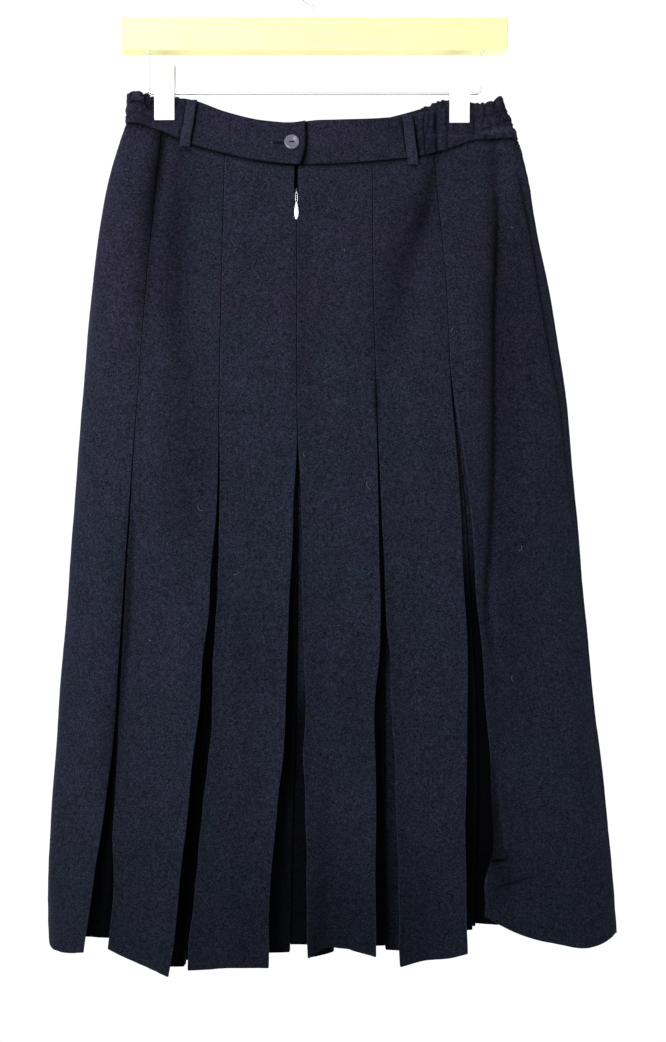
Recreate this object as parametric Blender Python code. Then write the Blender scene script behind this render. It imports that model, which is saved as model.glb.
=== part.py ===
"""Pleated midi skirt, hung by its waistband from a wooden bar hanger with two clips.

Lengths are in millimetres here and are turned into metres when a mesh is made.
+X is to the right and +Z is up. The side with the zip is the front and faces -Y.
The origin is the top of the hook's inside, where a rail carries the hanger.

The cloth is laid out round one plan outline that changes with height. A place on it
is a length s round the outline, counted from the left end over the front, and an
inset n, counted inwards from the outer face of the cloth.
"""

import functools
import math

import bmesh
import bpy
import numpy as np
from mathutils import Euler, Vector

MM = 0.001


def table(names, *rows):
    """Columns of a table as arrays, by name."""
    return dict(zip(names.split(), np.array(rows, dtype=float).T))


# ---------------------------------------------------------------- cloth sizes
WALL = 1.2              # thickness of one layer of cloth
LAYER = 2.0             # from the middle of one folded layer to the next
SEAM = 0.3              # open line between two sewn pieces
BAND_OUT = -0.6         # inset of the waistband's outer face
BAND_IN = 1.8           # inset of its inner face
SIDE_SEAM_LEFT = 11.0   # left side seam lies this far round on the back
SIDE_SEAM_RIGHT = 9.0   # right side seam lies this far in on the front

# Ends of the flattened skirt seen from the front
OUTLINE = table(
    "z left right",
    (-920, -242, 281), (-850, -245.5, 275.5), (-800, -242, 270), (-700, -234, 259),
    (-600, -226, 248), (-500, -218, 239.5), (-400, -210.5, 229.5), (-320, -204.5, 217),
    (-280, -200, 208.5), (-240, -194, 200.5), (-200, -186.5, 194), (-170, -178, 187.5),
    (-155, -173, 183), (-140, -172, 177.5), (-118, -169, 170))

# Depth of the front and the back from the middle plane, and the length over
# which each end rounds off
HANG = table(
    "z front back end",
    (-920, 62.5, 61, 250), (-800, 58, 57, 235), (-700, 53, 52, 215), (-600, 48, 47, 190),
    (-500, 42.5, 41, 155), (-400, 36, 34, 110), (-300, 27.5, 25, 58), (-250, 21.5, 19, 34),
    (-200, 14.8, 12.5, 16), (-168, 9.8, 8.6, 9), (-118, 8.2, 7.2, 7))

# Top edge of the waistband and its seam to the gores, front and back
WAIST = table(
    "x front_top front_seam back_top back_seam",
    (-175, -127, -155, -127, -155), (-163, -126, -156.5, -126, -156.5),
    (-149, -131, -160, -131, -160), (-137, -131.6, -165, -131.4, -165),
    (-110, -137, -177, -135, -176), (-82, -147.5, -185, -146, -185),
    (-48, -155, -192.5, -154, -192.5), (-17, -157.2, -196, -157, -196),
    (20, -155.5, -195, -155.5, -195.5), (60, -153, -192, -149, -190.5),
    (95, -149, -188, -141, -181), (124, -142, -180.5, -132.3, -173),
    (145, -138, -173, -134.5, -169.5), (160, -137, -170.5, -137, -169),
    (173, -132, -169, -132, -169), (188, -132, -169, -132, -169))

# Pleat lines on the front, left to right: place across, and how far the two
# creases stand apart
FRONT_X = table(
    "z A B C D E",
    (-920, -194.5, -120, -22.3, 65.9, 144.4), (-800, -184.7, -108.9, -19.2, 64.3, 148.2),
    (-700, -178.2, -99.4, -16.2, 63.4, 147.1), (-600, -172.9, -90.7, -14.8, 62.1, 141.5),
    (-500, -165.8, -84.8, -13.8, 59, 135.8), (-400, -158.6, -84.3, -14.8, 56, 123.8),
    (-300, -150.8, -83, -15.2, 53.7, 119.1), (-200, -142.5, -81.5, -15.7, 53.3, 110.9),
    (-150, -139, -81, -15.8, 53.5, 109))
FRONT_GAP = table(
    "z A B C D E",
    (-920, 24, 21, 35, 21.3, 22), (-800, 7, 12.5, 23.7, 19.3, 24.3),
    (-700, 1, 10, 17.7, 14.4, 20), (-600, 0, 6, 12.1, 4.8, 12.4),
    (-500, 0, 1.5, 5.9, 2, 8.2), (-450, 0, 0.3, 0.3, 0.8, 4.8),
    (-420, 0, 0, 0, 0.3, 2.4), (-384, 0, 0, 0, 0, 0), (-231, 0, 0, 0, 0, 0),
    (-221, 0, 0, 3.4, 0, 0), (-150, 0, 0, 3.4, 0, 0))
# Pleat lines on the back, right to left
BACK_X = table(
    "z F G H I J",
    (-920, 168, 84, -9, -86, -172), (-750, 154, 76, -5, -77, -152),
    (-600, 143, 71, -2, -70, -136), (-450, 131, 66, 1, -64, -121),
    (-300, 122, 62, 3, -58, -111), (-150, 116, 60, 4, -54, -104))
BACK_GAP = table(
    "z F G H I J",
    (-920, 25, 28, 23, 26, 20), (-750, 15, 17, 14, 16, 10), (-600, 8, 9, 6, 10, 4),
    (-470, 2, 3, 0.5, 3, 0), (-410, 0, 0, 0, 0, 0), (-150, 0, 0, 0, 0, 0))

# Shape of each inverted pleat: how far the folded cloth reaches sideways behind
# the gore at the waist and the hem, the height where it starts to open, the
# distance between its two layers at the fold, the least inset of its underlay
PLEATS = {
    "A": dict(waist=9, hem=19, opens=-700, step=2.0, under=4.6),
    "B": dict(waist=11, hem=23, opens=-430, step=2.0, under=4.6),
    "C": dict(waist=14, hem=23, opens=-445, step=3.0, under=8.2),
    "D": dict(waist=11, hem=23, opens=-395, step=2.0, under=4.6),
    "E": dict(waist=11, hem=23, opens=-384, step=2.0, under=4.6),
    "F": dict(waist=11, hem=23, opens=-420, step=2.0, under=4.6),
    "G": dict(waist=11, hem=23, opens=-410, step=2.0, under=4.6),
    "H": dict(waist=11, hem=23, opens=-450, step=2.0, under=4.6),
    "I": dict(waist=11, hem=23, opens=-410, step=2.0, under=4.6),
    "J": dict(waist=11, hem=21, opens=-470, step=2.0, under=4.6),
}
FOLD_OPEN = 10.0        # how much further in the folds lie at the hem
UNDER_OPEN = 21.0       # how much further in the underlay lies at the hem
HOLLOW = 4.0            # how far the middle of a gore falls in at the hem

# Soft folds of the hanging cloth: a valley along a line, with its width and depth
FOLDS = table(
    "side x_top z_top x_low z_low width depth",
    (-1, 164, -178, 160, -560, 13, 3.5), (-1, -124, -190, -131, -340, 12, 1.6),
    (-1, 100, -195, 80, -310, 15, 1.8), (-1, -156, -320, -183, -800, 15, 3.0),
    (1, 150, -220, 168, -560, 15, 3.0), (1, -146, -230, -168, -600, 15, 3.0),
    (1, 34, -480, 30, -800, 13, 1.6))

# Gores once round: first and last line, and the hem's height at the first line,
# in the middle and at the last line
GORES = (
    ("front_gore_1", "left", "A", (-903, -909, -905)),
    ("front_gore_2", "A", "B", (-897, -907, -917)),
    ("front_gore_3", "B", "C", (-913, -911.5, -909)),
    ("front_gore_4", "C", "D", (-899, -895.5, -899)),
    ("front_gore_5", "D", "E", (-909, -903, -895)),
    ("front_gore_6", "E", "right", (-878, -897, -896)),
    ("back_gore_1", "right", "F", (-897, -905, -903)),
    ("back_gore_2", "F", "G", (-906, -908, -904)),
    ("back_gore_3", "G", "H", (-900, -904, -906)),
    ("back_gore_4", "H", "I", (-908, -904, -901)),
    ("back_gore_5", "I", "J", (-903, -906, -904)),
    ("back_gore_6", "J", "left", (-901, -905, -903)),
)
FACE_STEPS = {"front_gore_1": 8, "front_gore_6": 9, "back_gore_1": 10, "back_gore_6": 9}
LEVELS = (0, 0.05, 0.11, 0.19, 0.29, 0.40, 0.52, 0.65, 0.78, 0.90, 1)
ZIP_LEVELS = (0, 0.05, 0.0675, 0.11, 0.19, 0.29)
EXTRA_LEVELS = {"front_gore_1": (0.022,), "front_gore_2": (0.022,),
                "front_gore_3": ZIP_LEVELS, "front_gore_4": ZIP_LEVELS}
WAIST_Z = -175.0        # level waist and hem that the rows are spaced between
HEM_Z = -905.0
WAIST_BLEND = 0.15      # share of the length in which rows level out below the waist
HEM_BLEND = 0.25        # and above the hem

# ------------------------------------------------------------------ waistband
BAND_LEVELS = (0, 0.36, 0.68, 1)
LOOP_LEFT_X = -111.0    # elastic starts under the belt loops
LOOP_RIGHT_X = 90.0
BACK_ELASTIC_LEFT_X = -96.0
BACK_ELASTIC_RIGHT_X = 98.0
TAB_END_X = -7.8
UNDERLAP_X = -30.0
TAB_LIFT = 1.7          # how far the tab stands out over the underlap
TAB_LIFT_X = -52.0      # where the tab starts to rise, and over what length
TAB_LIFT_LENGTH = 16.0
UNDERLAP_DROP = 1.1     # how far the underlap falls in behind the tab
UNDERLAP_DROP_X = -6.0
UNDERLAP_DROP_LENGTH = 12.0
TAB_SLANT = 5.0         # how far the tab's end turns back at its lower edge
GATHER_PITCH = 10.0
GATHER_RISE = 1.1
GATHER_CLEAR = 7.0      # flat on either side of a belt loop's middle
GATHER_FADE = 8.0
LOOP_WIDTH = 9.5
LOOP_STANDS = 2.6       # gap between a belt loop and the band
LOOP_BOW = 1.8          # the loop stands off by its whole gap over most of its length
LOOP_TOP_GAP = 0.5      # from the band's top edge down to the loop
LOOP_LOW_GAP = 1.0      # from the waist seam up to the loop
# Belt loops: side (-1 front, 1 back), place of the top and of the bottom
BELT_LOOPS = {
    "belt_loop_front_left": (-1, -111.5, -117.5),
    "belt_loop_front_right": (-1, 85.0, 90.5),
    "belt_loop_back_left": (1, -64.0, -65.0),
    "belt_loop_back_right": (1, 62.0, 63.0),
}

# ----------------------------------------------------------- button and zip
BUTTON_AT = (-20.0, -175.0)
BUTTON_THICK = 2.4
BUTTON_LIFT = 0.45      # open line between the button and the tab
BUTTON_PROFILE = ((4.6, 0.5), (5.4, 0), (6.4, 0.1), (6.9, 0.9), (6.9, 1.6), (6.0, 2.4))
BUTTON_HOLE_RADIUS = 0.85
BUTTON_HOLE_SPREAD = 1.9
TAPE_WIDTH = 10.5
TAPE_THICK = 1.0
TAPE_INSET = 4.0
TAPE_NEAR = 0.25        # from the seam to the tape, wider at the top round the slider
TAPE_NEAR_TOP = 3.4
TAPE_TOP_LEVEL = 0.1
ZIP_AXIS_Z = -223.0     # height of the bail that carries the pull
BAIL_STANDS = 1.7       # its axis in front of the cloth
BAIL_HOLE = 0.8
BAIL_OUTER = 1.45
BAIL_HALF = 0.55
BAIL_NECK = 0.7         # half the height of the neck between bail and slider
BAIL_SINK = 1.2         # how far the neck goes into the slider
SLIDER_OUTLINE = ((-3.0, -6.0), (3.0, -6.0), (2.2, 6.0), (-2.2, 6.0))
SLIDER_THICK = 2.8
SLIDER_BEHIND = BAIL_STANDS + WALL + LAYER + SEAM
PULL_THICK = 0.9
PULL_BAR = 0.45         # half the thickness of the bar that lies in the bail
PULL_TILT = 2.0         # degrees that the pull leans in, to rest on the cloth

# -------------------------------------------------------------------- hanger
BAR = dict(left=-176.6, right=177.6, top=-59.5, bottom=-89.2, depth=17.0, edge=1.5)
HOOK_INNER = 20.0
HOOK_WIRE = 1.9
HOOK_TIP = -35.0        # degrees, where the hook's open end starts
HOOK_TURN = 245.0       # degrees, where it bends back to the stem
STEM_HOLE = 2.2
STEM_DEEP = 12.0
ROD_WIRE = 1.5
ROD_Z = -126.7
ROD_ENDS = (-152.7, 155.0)
ROD_BEND = 6.0
ROD_HOLE = 1.8
ROD_DEEP = 9.0
# Clips: place across, and the height down to which each holds the band flat
CLIPS = {"clip_left": (-137.0, -155.0), "clip_right": (133.5, -162.0)}
CLIP_WIDTH = 18.5
CLIP_BAND = 2.1         # from the middle plane to the cloth under a clip
GRIP_FADE = 10.0        # the band opens over this length below
PINCH_HALF = 10.5
PINCH_INNER = 80.0      # the band opens over this length towards the middle
PINCH_OUTER = 12.0      # and over this length towards the ends
# One jaw in front of the rod, from its tip up the inner side and down the outer
JAW_OUTLINE = (
    (-3.9, -26.8), (-3.2, -24.0), (-3.2, -3.7), (-1.85, -2.0), (-1.85, 3.6),
    (-4.0, 8.0), (-7.4, 28.2), (-8.6, 29.0), (-10.2, 28.2), (-7.6, 9.0),
    (-6.9, 0.0), (-6.3, -14.0), (-5.6, -25.4), (-4.9, -26.8))
SPRING_LINE = ((-5.25, 20), (-3.15, 8), (-1.85, 5.5), (0, 4.6), (1.85, 5.5), (3.15, 8), (5.25, 20))
SPRING_THICK = 0.8
SPRING_WIDTH = 8.0

FINISHES = {
    "cloth": ((0.012, 0.014, 0.024), 0.85, 0.0),
    "button": ((0.05, 0.06, 0.09), 0.35, 0.0),
    "tape": ((0.008, 0.009, 0.014), 0.8, 0.0),
    "zip_metal": ((0.6, 0.6, 0.62), 0.3, 1.0),
    "wood": ((0.78, 0.62, 0.38), 0.5, 0.0),
    "plastic": ((0.9, 0.9, 0.9), 0.4, 0.0),
    "steel": ((0.7, 0.7, 0.72), 0.25, 1.0),
}


# ------------------------------------------------------------------ functions
def smooth(x, xs, ys):
    """Height at x of a smooth curve through the points, level past both ends."""
    slope = np.gradient(ys, xs)
    x = np.clip(x, xs[0], xs[-1])
    i = np.clip(np.searchsorted(xs, x) - 1, 0, len(xs) - 2)
    span = xs[i + 1] - xs[i]
    t = (x - xs[i]) / span
    start = (1 + 2 * t) * (1 - t) ** 2 * ys[i] + t * (1 - t) ** 2 * span * slope[i]
    end = t * t * (3 - 2 * t) * ys[i + 1] + t * t * (t - 1) * span * slope[i + 1]
    return start + end


def ease(t):
    """Soft step from 0 to 1."""
    t = np.clip(t, 0.0, 1.0)
    return t * t * (3 - 2 * t)


def pinch(x, centre):
    """1 under a clip, fading to 0 beside it."""
    away = np.abs(x - centre) - PINCH_HALF
    inwards = (x - centre) * np.sign(centre) < 0
    reach = np.where(inwards, PINCH_INNER, PINCH_OUTER)
    return 1 - ease(away / reach)


def depth(side, x, z):
    """Distance of the cloth's outer face from the middle plane."""
    free = smooth(z, HANG["z"], HANG[side])
    held = 0.0
    for centre, low in CLIPS.values():
        held = np.maximum(held, pinch(x, centre) * ease((z - low + GRIP_FADE) / GRIP_FADE))
    return free * (1 - held) + CLIP_BAND * held


class Plan:
    """The skirt's outline at one height, seen from above."""

    STATIONS = 180

    def __init__(self, z):
        left = smooth(z, OUTLINE["z"], OUTLINE["left"])
        right = smooth(z, OUTLINE["z"], OUTLINE["right"])
        turn = (1 - np.cos(np.linspace(0, math.pi, self.STATIONS + 1))) / 2
        self.x = left + (right - left) * turn
        end = smooth(z, HANG["z"], HANG["end"])
        share = np.clip(np.minimum(self.x - left, right - self.x) / end, 0, 1)
        cap = np.sqrt(share * (2 - share))
        front = np.stack([self.x, -depth("front", self.x, z) * cap], axis=1)
        back = np.stack([self.x, depth("back", self.x, z) * cap], axis=1)[::-1]
        ring = np.concatenate([front[:-1], back[:-1]])
        tangent = np.roll(ring, -1, axis=0) - np.roll(ring, 1, axis=0)
        tangent /= np.linalg.norm(tangent, axis=1, keepdims=True)
        inward = np.stack([-tangent[:, 1], tangent[:, 0]], axis=1)
        self.ring = np.concatenate([ring, ring[:1]])
        self.inward = np.concatenate([inward, inward[:1]])
        steps = np.linalg.norm(np.diff(self.ring, axis=0), axis=1)
        self.length = np.concatenate([[0], np.cumsum(steps)])
        self.front_end = self.length[self.STATIONS]
        self.total = self.length[-1]

    def along(self, side, x):
        """Length from the left end to the place at x, over the front (-1) or to the back (1)."""
        if side < 0:
            return np.interp(x, self.x, self.length[:self.STATIONS + 1])
        return np.interp(x, self.x, self.length[self.STATIONS:][::-1])

    def point(self, s, inset):
        """Place at length s, moved inwards."""
        s = s % self.total
        spot = [np.interp(s, self.length, self.ring[:, axis]) for axis in (0, 1)]
        normal = [np.interp(s, self.length, self.inward[:, axis]) for axis in (0, 1)]
        size = math.hypot(*normal)
        return spot[0] + inset * normal[0] / size, spot[1] + inset * normal[1] / size


@functools.lru_cache(maxsize=None)
def stored_plan(z):
    return Plan(z)


def plan(z):
    """Outline at height z, to the nearest hundredth of a millimetre."""
    return stored_plan(round(float(z), 2))


def place(s, inset, z):
    """Point in space at length s, inset and height."""
    x, y = plan(z).point(s, inset)
    return x, y, z


def line_at(line, z):
    """Length s of a pleat line or side seam at height z."""
    if line == "left":
        return -SIDE_SEAM_LEFT
    if line == "right":
        return plan(z).front_end - SIDE_SEAM_RIGHT
    if line in FRONT_X:
        return plan(z).along(-1, smooth(z, FRONT_X["z"], FRONT_X[line]))
    return plan(z).along(1, smooth(z, BACK_X["z"], BACK_X[line]))


def gap_at(line, z):
    """Distance between the two creases of a pleat."""
    if line not in PLEATS:
        return SEAM
    columns = FRONT_GAP if line in FRONT_GAP else BACK_GAP
    return SEAM + np.interp(z, columns["z"], columns[line])


def soft_folds(side, x, z):
    """Inset of the cloth in its soft hanging folds."""
    inset = 0.0
    for i in np.flatnonzero(FOLDS["side"] == side):
        down = (FOLDS["z_top"][i] - z) / (FOLDS["z_top"][i] - FOLDS["z_low"][i])
        if 0 < down < 1:
            centre = FOLDS["x_top"][i] + down * (FOLDS["x_low"][i] - FOLDS["x_top"][i])
            across = (x - centre) / FOLDS["width"][i]
            inset += FOLDS["depth"][i] * math.sin(math.pi * down) ** 0.7 * math.exp(-across ** 2)
    return inset


def waist_height(edge, s, z):
    """Height of the waistband's top or seam above or below the place s at height z."""
    x, y = plan(z).point(s, 0)
    side = "front" if y < 0 else "back"
    return smooth(x, WAIST["x"], WAIST[f"{side}_{edge}"])


# -------------------------------------------------------------------- gores
def pleat_side(line, z, towards, face_inset):
    """Half of a pleat as (s, inset), from the middle of its underlay to the crease."""
    middle = line_at(line, z)
    crease = gap_at(line, z) / 2
    if line not in PLEATS:
        return [(middle + towards * crease, WALL / 2)]
    shape = PLEATS[line]
    down = (WAIST_Z - z) / (WAIST_Z - HEM_Z)
    opened = max(0.0, (shape["opens"] - z) / (shape["opens"] - HEM_Z))
    reach = shape["waist"] + (shape["hem"] - shape["waist"]) * down
    wing = WALL / 2 + LAYER + FOLD_OPEN * opened
    under = shape["under"] + UNDER_OPEN * opened ** 0.8
    inner = wing + shape["step"]
    under = max(under, inner)
    stations = (
        (SEAM / 2, under),
        (crease + 0.5 * reach, 0.5 * (under + inner)),
        (crease + reach, inner),
        (crease + reach, wing),
        (crease + 0.5 * reach, 0.5 * (wing + WALL / 2 + LAYER)),
        (crease + WALL / 2, WALL / 2 + LAYER),
        (crease + WALL / 2, WALL / 2),
    )
    half = []
    for away, inset in stations:
        s = middle + towards * away
        half.append((s, inset + face_inset(s, z)))
    return half


def hem_height(heights, share):
    """Smooth curve through the hem's three heights."""
    first, middle, last = heights
    outer = first * (1 - share) * (1 - 2 * share) + last * share * (2 * share - 1)
    return outer + middle * 4 * share * (1 - share)


def row_height(level, waist, hem):
    """Height of a row between the waist seam and the hem."""
    even = WAIST_Z + level * (HEM_Z - WAIST_Z)
    near_waist = max(0.0, 1 - level / WAIST_BLEND) ** 2
    near_hem = max(0.0, 1 - (1 - level) / HEM_BLEND) ** 1.5
    return even + (waist - WAIST_Z) * near_waist + (hem - HEM_Z) * near_hem


class Gore:
    """One panel with the pleat halves at its sides."""

    def __init__(self, name, first, last, hem, steps=5):
        self.name = name
        self.first = first
        self.last = last
        self.hem = hem
        before = len(pleat_side(first, WAIST_Z, 1, self.face_inset))
        after = len(pleat_side(last, WAIST_Z, -1, self.face_inset))
        self.shares = [0.0] * before + [step / steps for step in range(1, steps)] + [1.0] * after
        self.before = before
        self.after = after
        self.waist = [self.waist_at(k) for k in range(len(self.shares))]

    def span(self, z):
        """Lengths s of the first and last crease at height z."""
        start = line_at(self.first, z)
        end = line_at(self.last, z)
        if end < start:
            end += plan(z).total
        return start + gap_at(self.first, z) / 2, end - gap_at(self.last, z) / 2

    def face_inset(self, s, z):
        """How far the face lies in from the plan outline."""
        start, end = self.span(z)
        share = min(1.0, max(0.0, (s - start) / (end - start)))
        sag = HOLLOW * ease((-400 - z) / 500) * math.sin(math.pi * share)
        x, y, _ = place(s, 0, z)
        return sag + soft_folds(-1 if y < 0 else 1, x, z)

    def station(self, k, z):
        """Length s and inset of the middle of the cloth at station k, at height z."""
        if k < self.before:
            return pleat_side(self.first, z, 1, self.face_inset)[k]
        back_from_end = len(self.shares) - 1 - k
        if back_from_end < self.after:
            s, inset = pleat_side(self.last, z, -1, self.face_inset)[back_from_end]
            turn = plan(z).total if self.last == "left" else 0
            return s + turn, inset
        start, end = self.span(z)
        s = start + WALL / 2 + self.shares[k] * (end - start - WALL)
        return s, WALL / 2 + self.face_inset(s, z)

    def waist_at(self, k):
        """Height of the waist seam above station k."""
        z = WAIST_Z
        for _ in range(4):
            z = waist_height("seam", self.station(k, z)[0], z)
        return z

    def section(self, level):
        """Middle line of the cloth at one level, as (s, inset, z)."""
        points = []
        for k, share in enumerate(self.shares):
            z = row_height(level, self.waist[k], hem_height(self.hem, share))
            points.append((*self.station(k, z), z))
        return points


def thicken(points, half):
    """Two offset copies of a line of (s, inset, z) points, square at its corners."""
    line = np.array([point[:2] for point in points])
    way = np.diff(line, axis=0)
    way /= np.linalg.norm(way, axis=1, keepdims=True)
    normal = np.stack([way[:, 1], -way[:, 0]], axis=1)
    before = np.concatenate([normal[:1], normal])
    after = np.concatenate([normal, normal[-1:]])
    mitre = (before + after) / (1 + np.sum(before * after, axis=1, keepdims=True))
    outer = line + half * mitre
    inner = line - half * mitre
    heights = [point[2] for point in points]
    return (
        [place(s, inset, z) for (s, inset), z in zip(outer, heights)],
        [place(s, inset, z) for (s, inset), z in zip(inner, heights)])


# ------------------------------------------------------------- mesh building
def finish(thing, look):
    """Give an object its own Principled material."""
    colour, roughness, metallic = FINISHES[look]
    material = bpy.data.materials.new(f"{thing.name}_{look}")
    material.use_nodes = True
    shader = material.node_tree.nodes["Principled BSDF"]
    shader.inputs["Base Color"].default_value = (*colour, 1)
    shader.inputs["Roughness"].default_value = roughness
    shader.inputs["Metallic"].default_value = metallic
    thing.data.materials.append(material)
    return thing


def make_object(name, points, faces, look):
    """Object from points in millimetres, its faces turned outwards."""
    mesh = bpy.data.meshes.new(name)
    mesh.from_pydata([tuple(c * MM for c in point) for point in points], [], faces)
    work = bmesh.new()
    work.from_mesh(mesh)
    bmesh.ops.recalc_face_normals(work, faces=work.faces)
    if work.calc_volume(signed=True) < 0:
        bmesh.ops.reverse_faces(work, faces=work.faces)
    work.to_mesh(mesh)
    work.free()
    thing = bpy.data.objects.new(name, mesh)
    bpy.context.collection.objects.link(thing)
    if look:
        finish(thing, look)
    return thing


def wall(name, rows, look):
    """Closed wall from rows of (outer points, inner points)."""
    across = len(rows[0][0])
    points = []
    for outer, inner in rows:
        points += outer
        points += inner
    faces = []
    for r in range(len(rows) - 1):
        for side in (0, across):
            for k in range(across - 1):
                a = 2 * across * r + side + k
                b = a + 2 * across
                faces.append((a, a + 1, b + 1, b))
        for k in (0, across - 1):
            a = 2 * across * r + k
            b = a + 2 * across
            faces.append((a, b, b + across, a + across))
    for r in (0, len(rows) - 1):
        for k in range(across - 1):
            a = 2 * across * r + k
            faces.append((a, a + across, a + across + 1, a + 1))
    return make_object(name, points, faces, look)


def prism(name, outline, start, end, axis, look):
    """Outline pushed from start to end along axis 0 (X), 1 (Y) or 2 (Z)."""
    count = len(outline)
    points = []
    for at in (start, end):
        for u, v in outline:
            point = [u, v]
            point.insert(axis, at)
            points.append(tuple(point))
    faces = [tuple(range(count)), tuple(range(count, 2 * count))]
    for k in range(count):
        n = (k + 1) % count
        faces.append((k, n, count + n, count + k))
    return make_object(name, points, faces, look)


def tube(name, line, radius, sides, look):
    """Round wire along a line of (x, z) points in the middle plane."""
    path = np.array(line, dtype=float)
    way = np.gradient(path, axis=0)
    way /= np.linalg.norm(way, axis=1, keepdims=True)
    points = []
    for (x, z), (dx, dz) in zip(path, way):
        for k in range(sides):
            angle = 2 * math.pi * (k + 0.5) / sides
            out = radius * math.cos(angle)
            points.append((x - dz * out, radius * math.sin(angle), z + dx * out))
    faces = [tuple(range(sides)), tuple(range(len(points) - sides, len(points)))]
    for r in range(len(path) - 1):
        for k in range(sides):
            a = sides * r + k
            b = sides * r + (k + 1) % sides
            faces.append((a, b, b + sides, a + sides))
    thing = make_object(name, points, faces, look)
    thing.data.shade_smooth()
    thing.data.set_sharp_from_angle(angle=math.radians(40))
    return thing


def arc(centre, radius, first, last, steps):
    """Points (x, z) on an arc, angles in degrees."""
    angles = np.radians(np.linspace(first, last, steps + 1))
    return [(centre[0] + radius * math.cos(a), centre[1] + radius * math.sin(a)) for a in angles]


def cylinder(name, radius, sides, centre, low, high, axis):
    """Cutter along axis 1 (Y) or 2 (Z) through the centre."""
    outline = [(centre[0] + radius * math.cos(a), centre[1] + radius * math.sin(a))
               for a in (2 * math.pi * k / sides for k in range(sides))]
    return prism(name, outline, low, high, axis, None)


def combine(thing, other, operation):
    """Cut the other shape out of the thing, or join it on, and drop the other."""
    modifier = thing.modifiers.new(operation.lower(), "BOOLEAN")
    modifier.operation = operation
    modifier.object = other
    modifier.solver = "EXACT"
    shape = bpy.data.meshes.new_from_object(thing.evaluated_get(bpy.context.evaluated_depsgraph_get()))
    thing.modifiers.remove(modifier)
    thing.data = shape
    bpy.data.objects.remove(other)


# ------------------------------------------------------------ pieces of cloth
def make_gores():
    gores = {}
    for name, first, last, hem in GORES:
        gore = Gore(name, first, last, hem, FACE_STEPS.get(name, 5))
        levels = sorted({*LEVELS, *EXTRA_LEVELS.get(name, ())})
        rows = [thicken(gore.section(level), WALL / 2) for level in levels]
        wall(name, rows, "cloth")
        gores[name] = gore
    return gores


def gather(s, z):
    """Outward ripple of the elastic, none where a clip or belt loop holds it flat."""
    x, y, _ = place(s, 0, z)
    free = 1 - max(pinch(x, centre) for centre, low in CLIPS.values())
    for side, top, low in BELT_LOOPS.values():
        if side * y > 0:
            free *= ease((abs(x - (top + low) / 2) - GATHER_CLEAR) / GATHER_FADE)
    return GATHER_RISE * free * math.sin(2 * math.pi * s / GATHER_PITCH)


def band_piece(name, first, last, steps, shift, ripple):
    """Piece of the waistband between two places, given as functions of the level."""
    rows = []
    for level in BAND_LEVELS:
        outer = []
        inner = []
        for k in range(steps + 1):
            z = WAIST_Z
            for _ in range(4):
                here = plan(z)
                start = here.along(*first(level)) + SEAM / 2
                end = here.along(*last(level)) - SEAM / 2
                if end < start:
                    end += here.total
                s = start + (end - start) * k / steps
                top = waist_height("top", s, z)
                seam = waist_height("seam", s, z) + SEAM
                z = round(top + level * (seam - top), 2)
            x = place(s, 0, z)[0]
            inset = shift(x)
            if ripple:
                inset -= gather(s, z)
            outer.append(place(s, BAND_OUT + inset, z))
            inner.append(place(s, BAND_IN + inset, z))
        rows.append((outer, inner))
    return wall(name, rows, "cloth")


def tab_shift(x):
    return -TAB_LIFT * ease((x - TAB_LIFT_X) / TAB_LIFT_LENGTH)


def underlap_shift(x):
    return UNDERLAP_DROP * (1 - ease((x - UNDERLAP_DROP_X) / UNDERLAP_DROP_LENGTH))


def make_waistband():
    def fixed(side, x):
        return lambda level: (side, x)

    def tab_end(level):
        return -1, TAB_END_X - TAB_SLANT * max(0.0, 2 * level - 1) ** 2

    def level_band(x):
        return 0.0

    loop_left = fixed(-1, LOOP_LEFT_X)
    loop_right = fixed(-1, LOOP_RIGHT_X)
    back_left = fixed(1, BACK_ELASTIC_LEFT_X)
    back_right = fixed(1, BACK_ELASTIC_RIGHT_X)
    band_piece("waistband_front_left", loop_left, tab_end, 12, tab_shift, False)
    band_piece("waistband_front_right", fixed(-1, UNDERLAP_X), loop_right, 13, underlap_shift, False)
    band_piece("waistband_elastic_right", loop_right, back_right, 78, level_band, True)
    band_piece("waistband_back", back_right, back_left, 18, level_band, False)
    band_piece("waistband_elastic_left", back_left, loop_left, 62, level_band, True)


def make_belt_loops():
    steps = 7
    seat = BAND_OUT - 2 * SEAM - WALL / 2
    for name, (side, top_x, low_x) in BELT_LOOPS.items():
        rows = []
        for k in range(steps + 1):
            share = k / steps
            x = top_x + share * (low_x - top_x)
            middle = plan(WAIST_Z).along(side, x)
            top = waist_height("top", middle, WAIST_Z) - LOOP_TOP_GAP
            low = waist_height("seam", middle, WAIST_Z) + LOOP_LOW_GAP
            z = round(top + share * (low - top), 2)
            bow = min(1.0, math.sin(math.pi * share) * LOOP_BOW)
            inset = seat - LOOP_STANDS * bow
            s = plan(z).along(side, x)
            ends = (s - LOOP_WIDTH / 2, s + LOOP_WIDTH / 2)
            outer = [place(end, inset - WALL / 2, z) for end in ends]
            inner = [place(end, inset + WALL / 2, z) for end in ends]
            rows.append((outer, inner))
        wall(name, rows, "cloth")


# ------------------------------------------------------------ button and zip
def surface(side, x, z, inset):
    """Point on the cloth and the angle by which it leans forward as it goes down, in radians."""
    point = Vector(place(plan(z).along(side, x), inset, z))
    below = Vector(place(plan(z - 12).along(side, x), inset, z - 12))
    above = Vector(place(plan(z + 12).along(side, x), inset, z + 12))
    lean = math.atan2(side * (below.y - above.y), above.z - below.z)
    return point, lean


def stand(thing, point, lean):
    """Put an object made round its own origin, Y out of the front, onto the leaning cloth."""
    thing.location = point * MM
    thing.rotation_euler = Euler((-lean, 0, 0))


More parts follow.
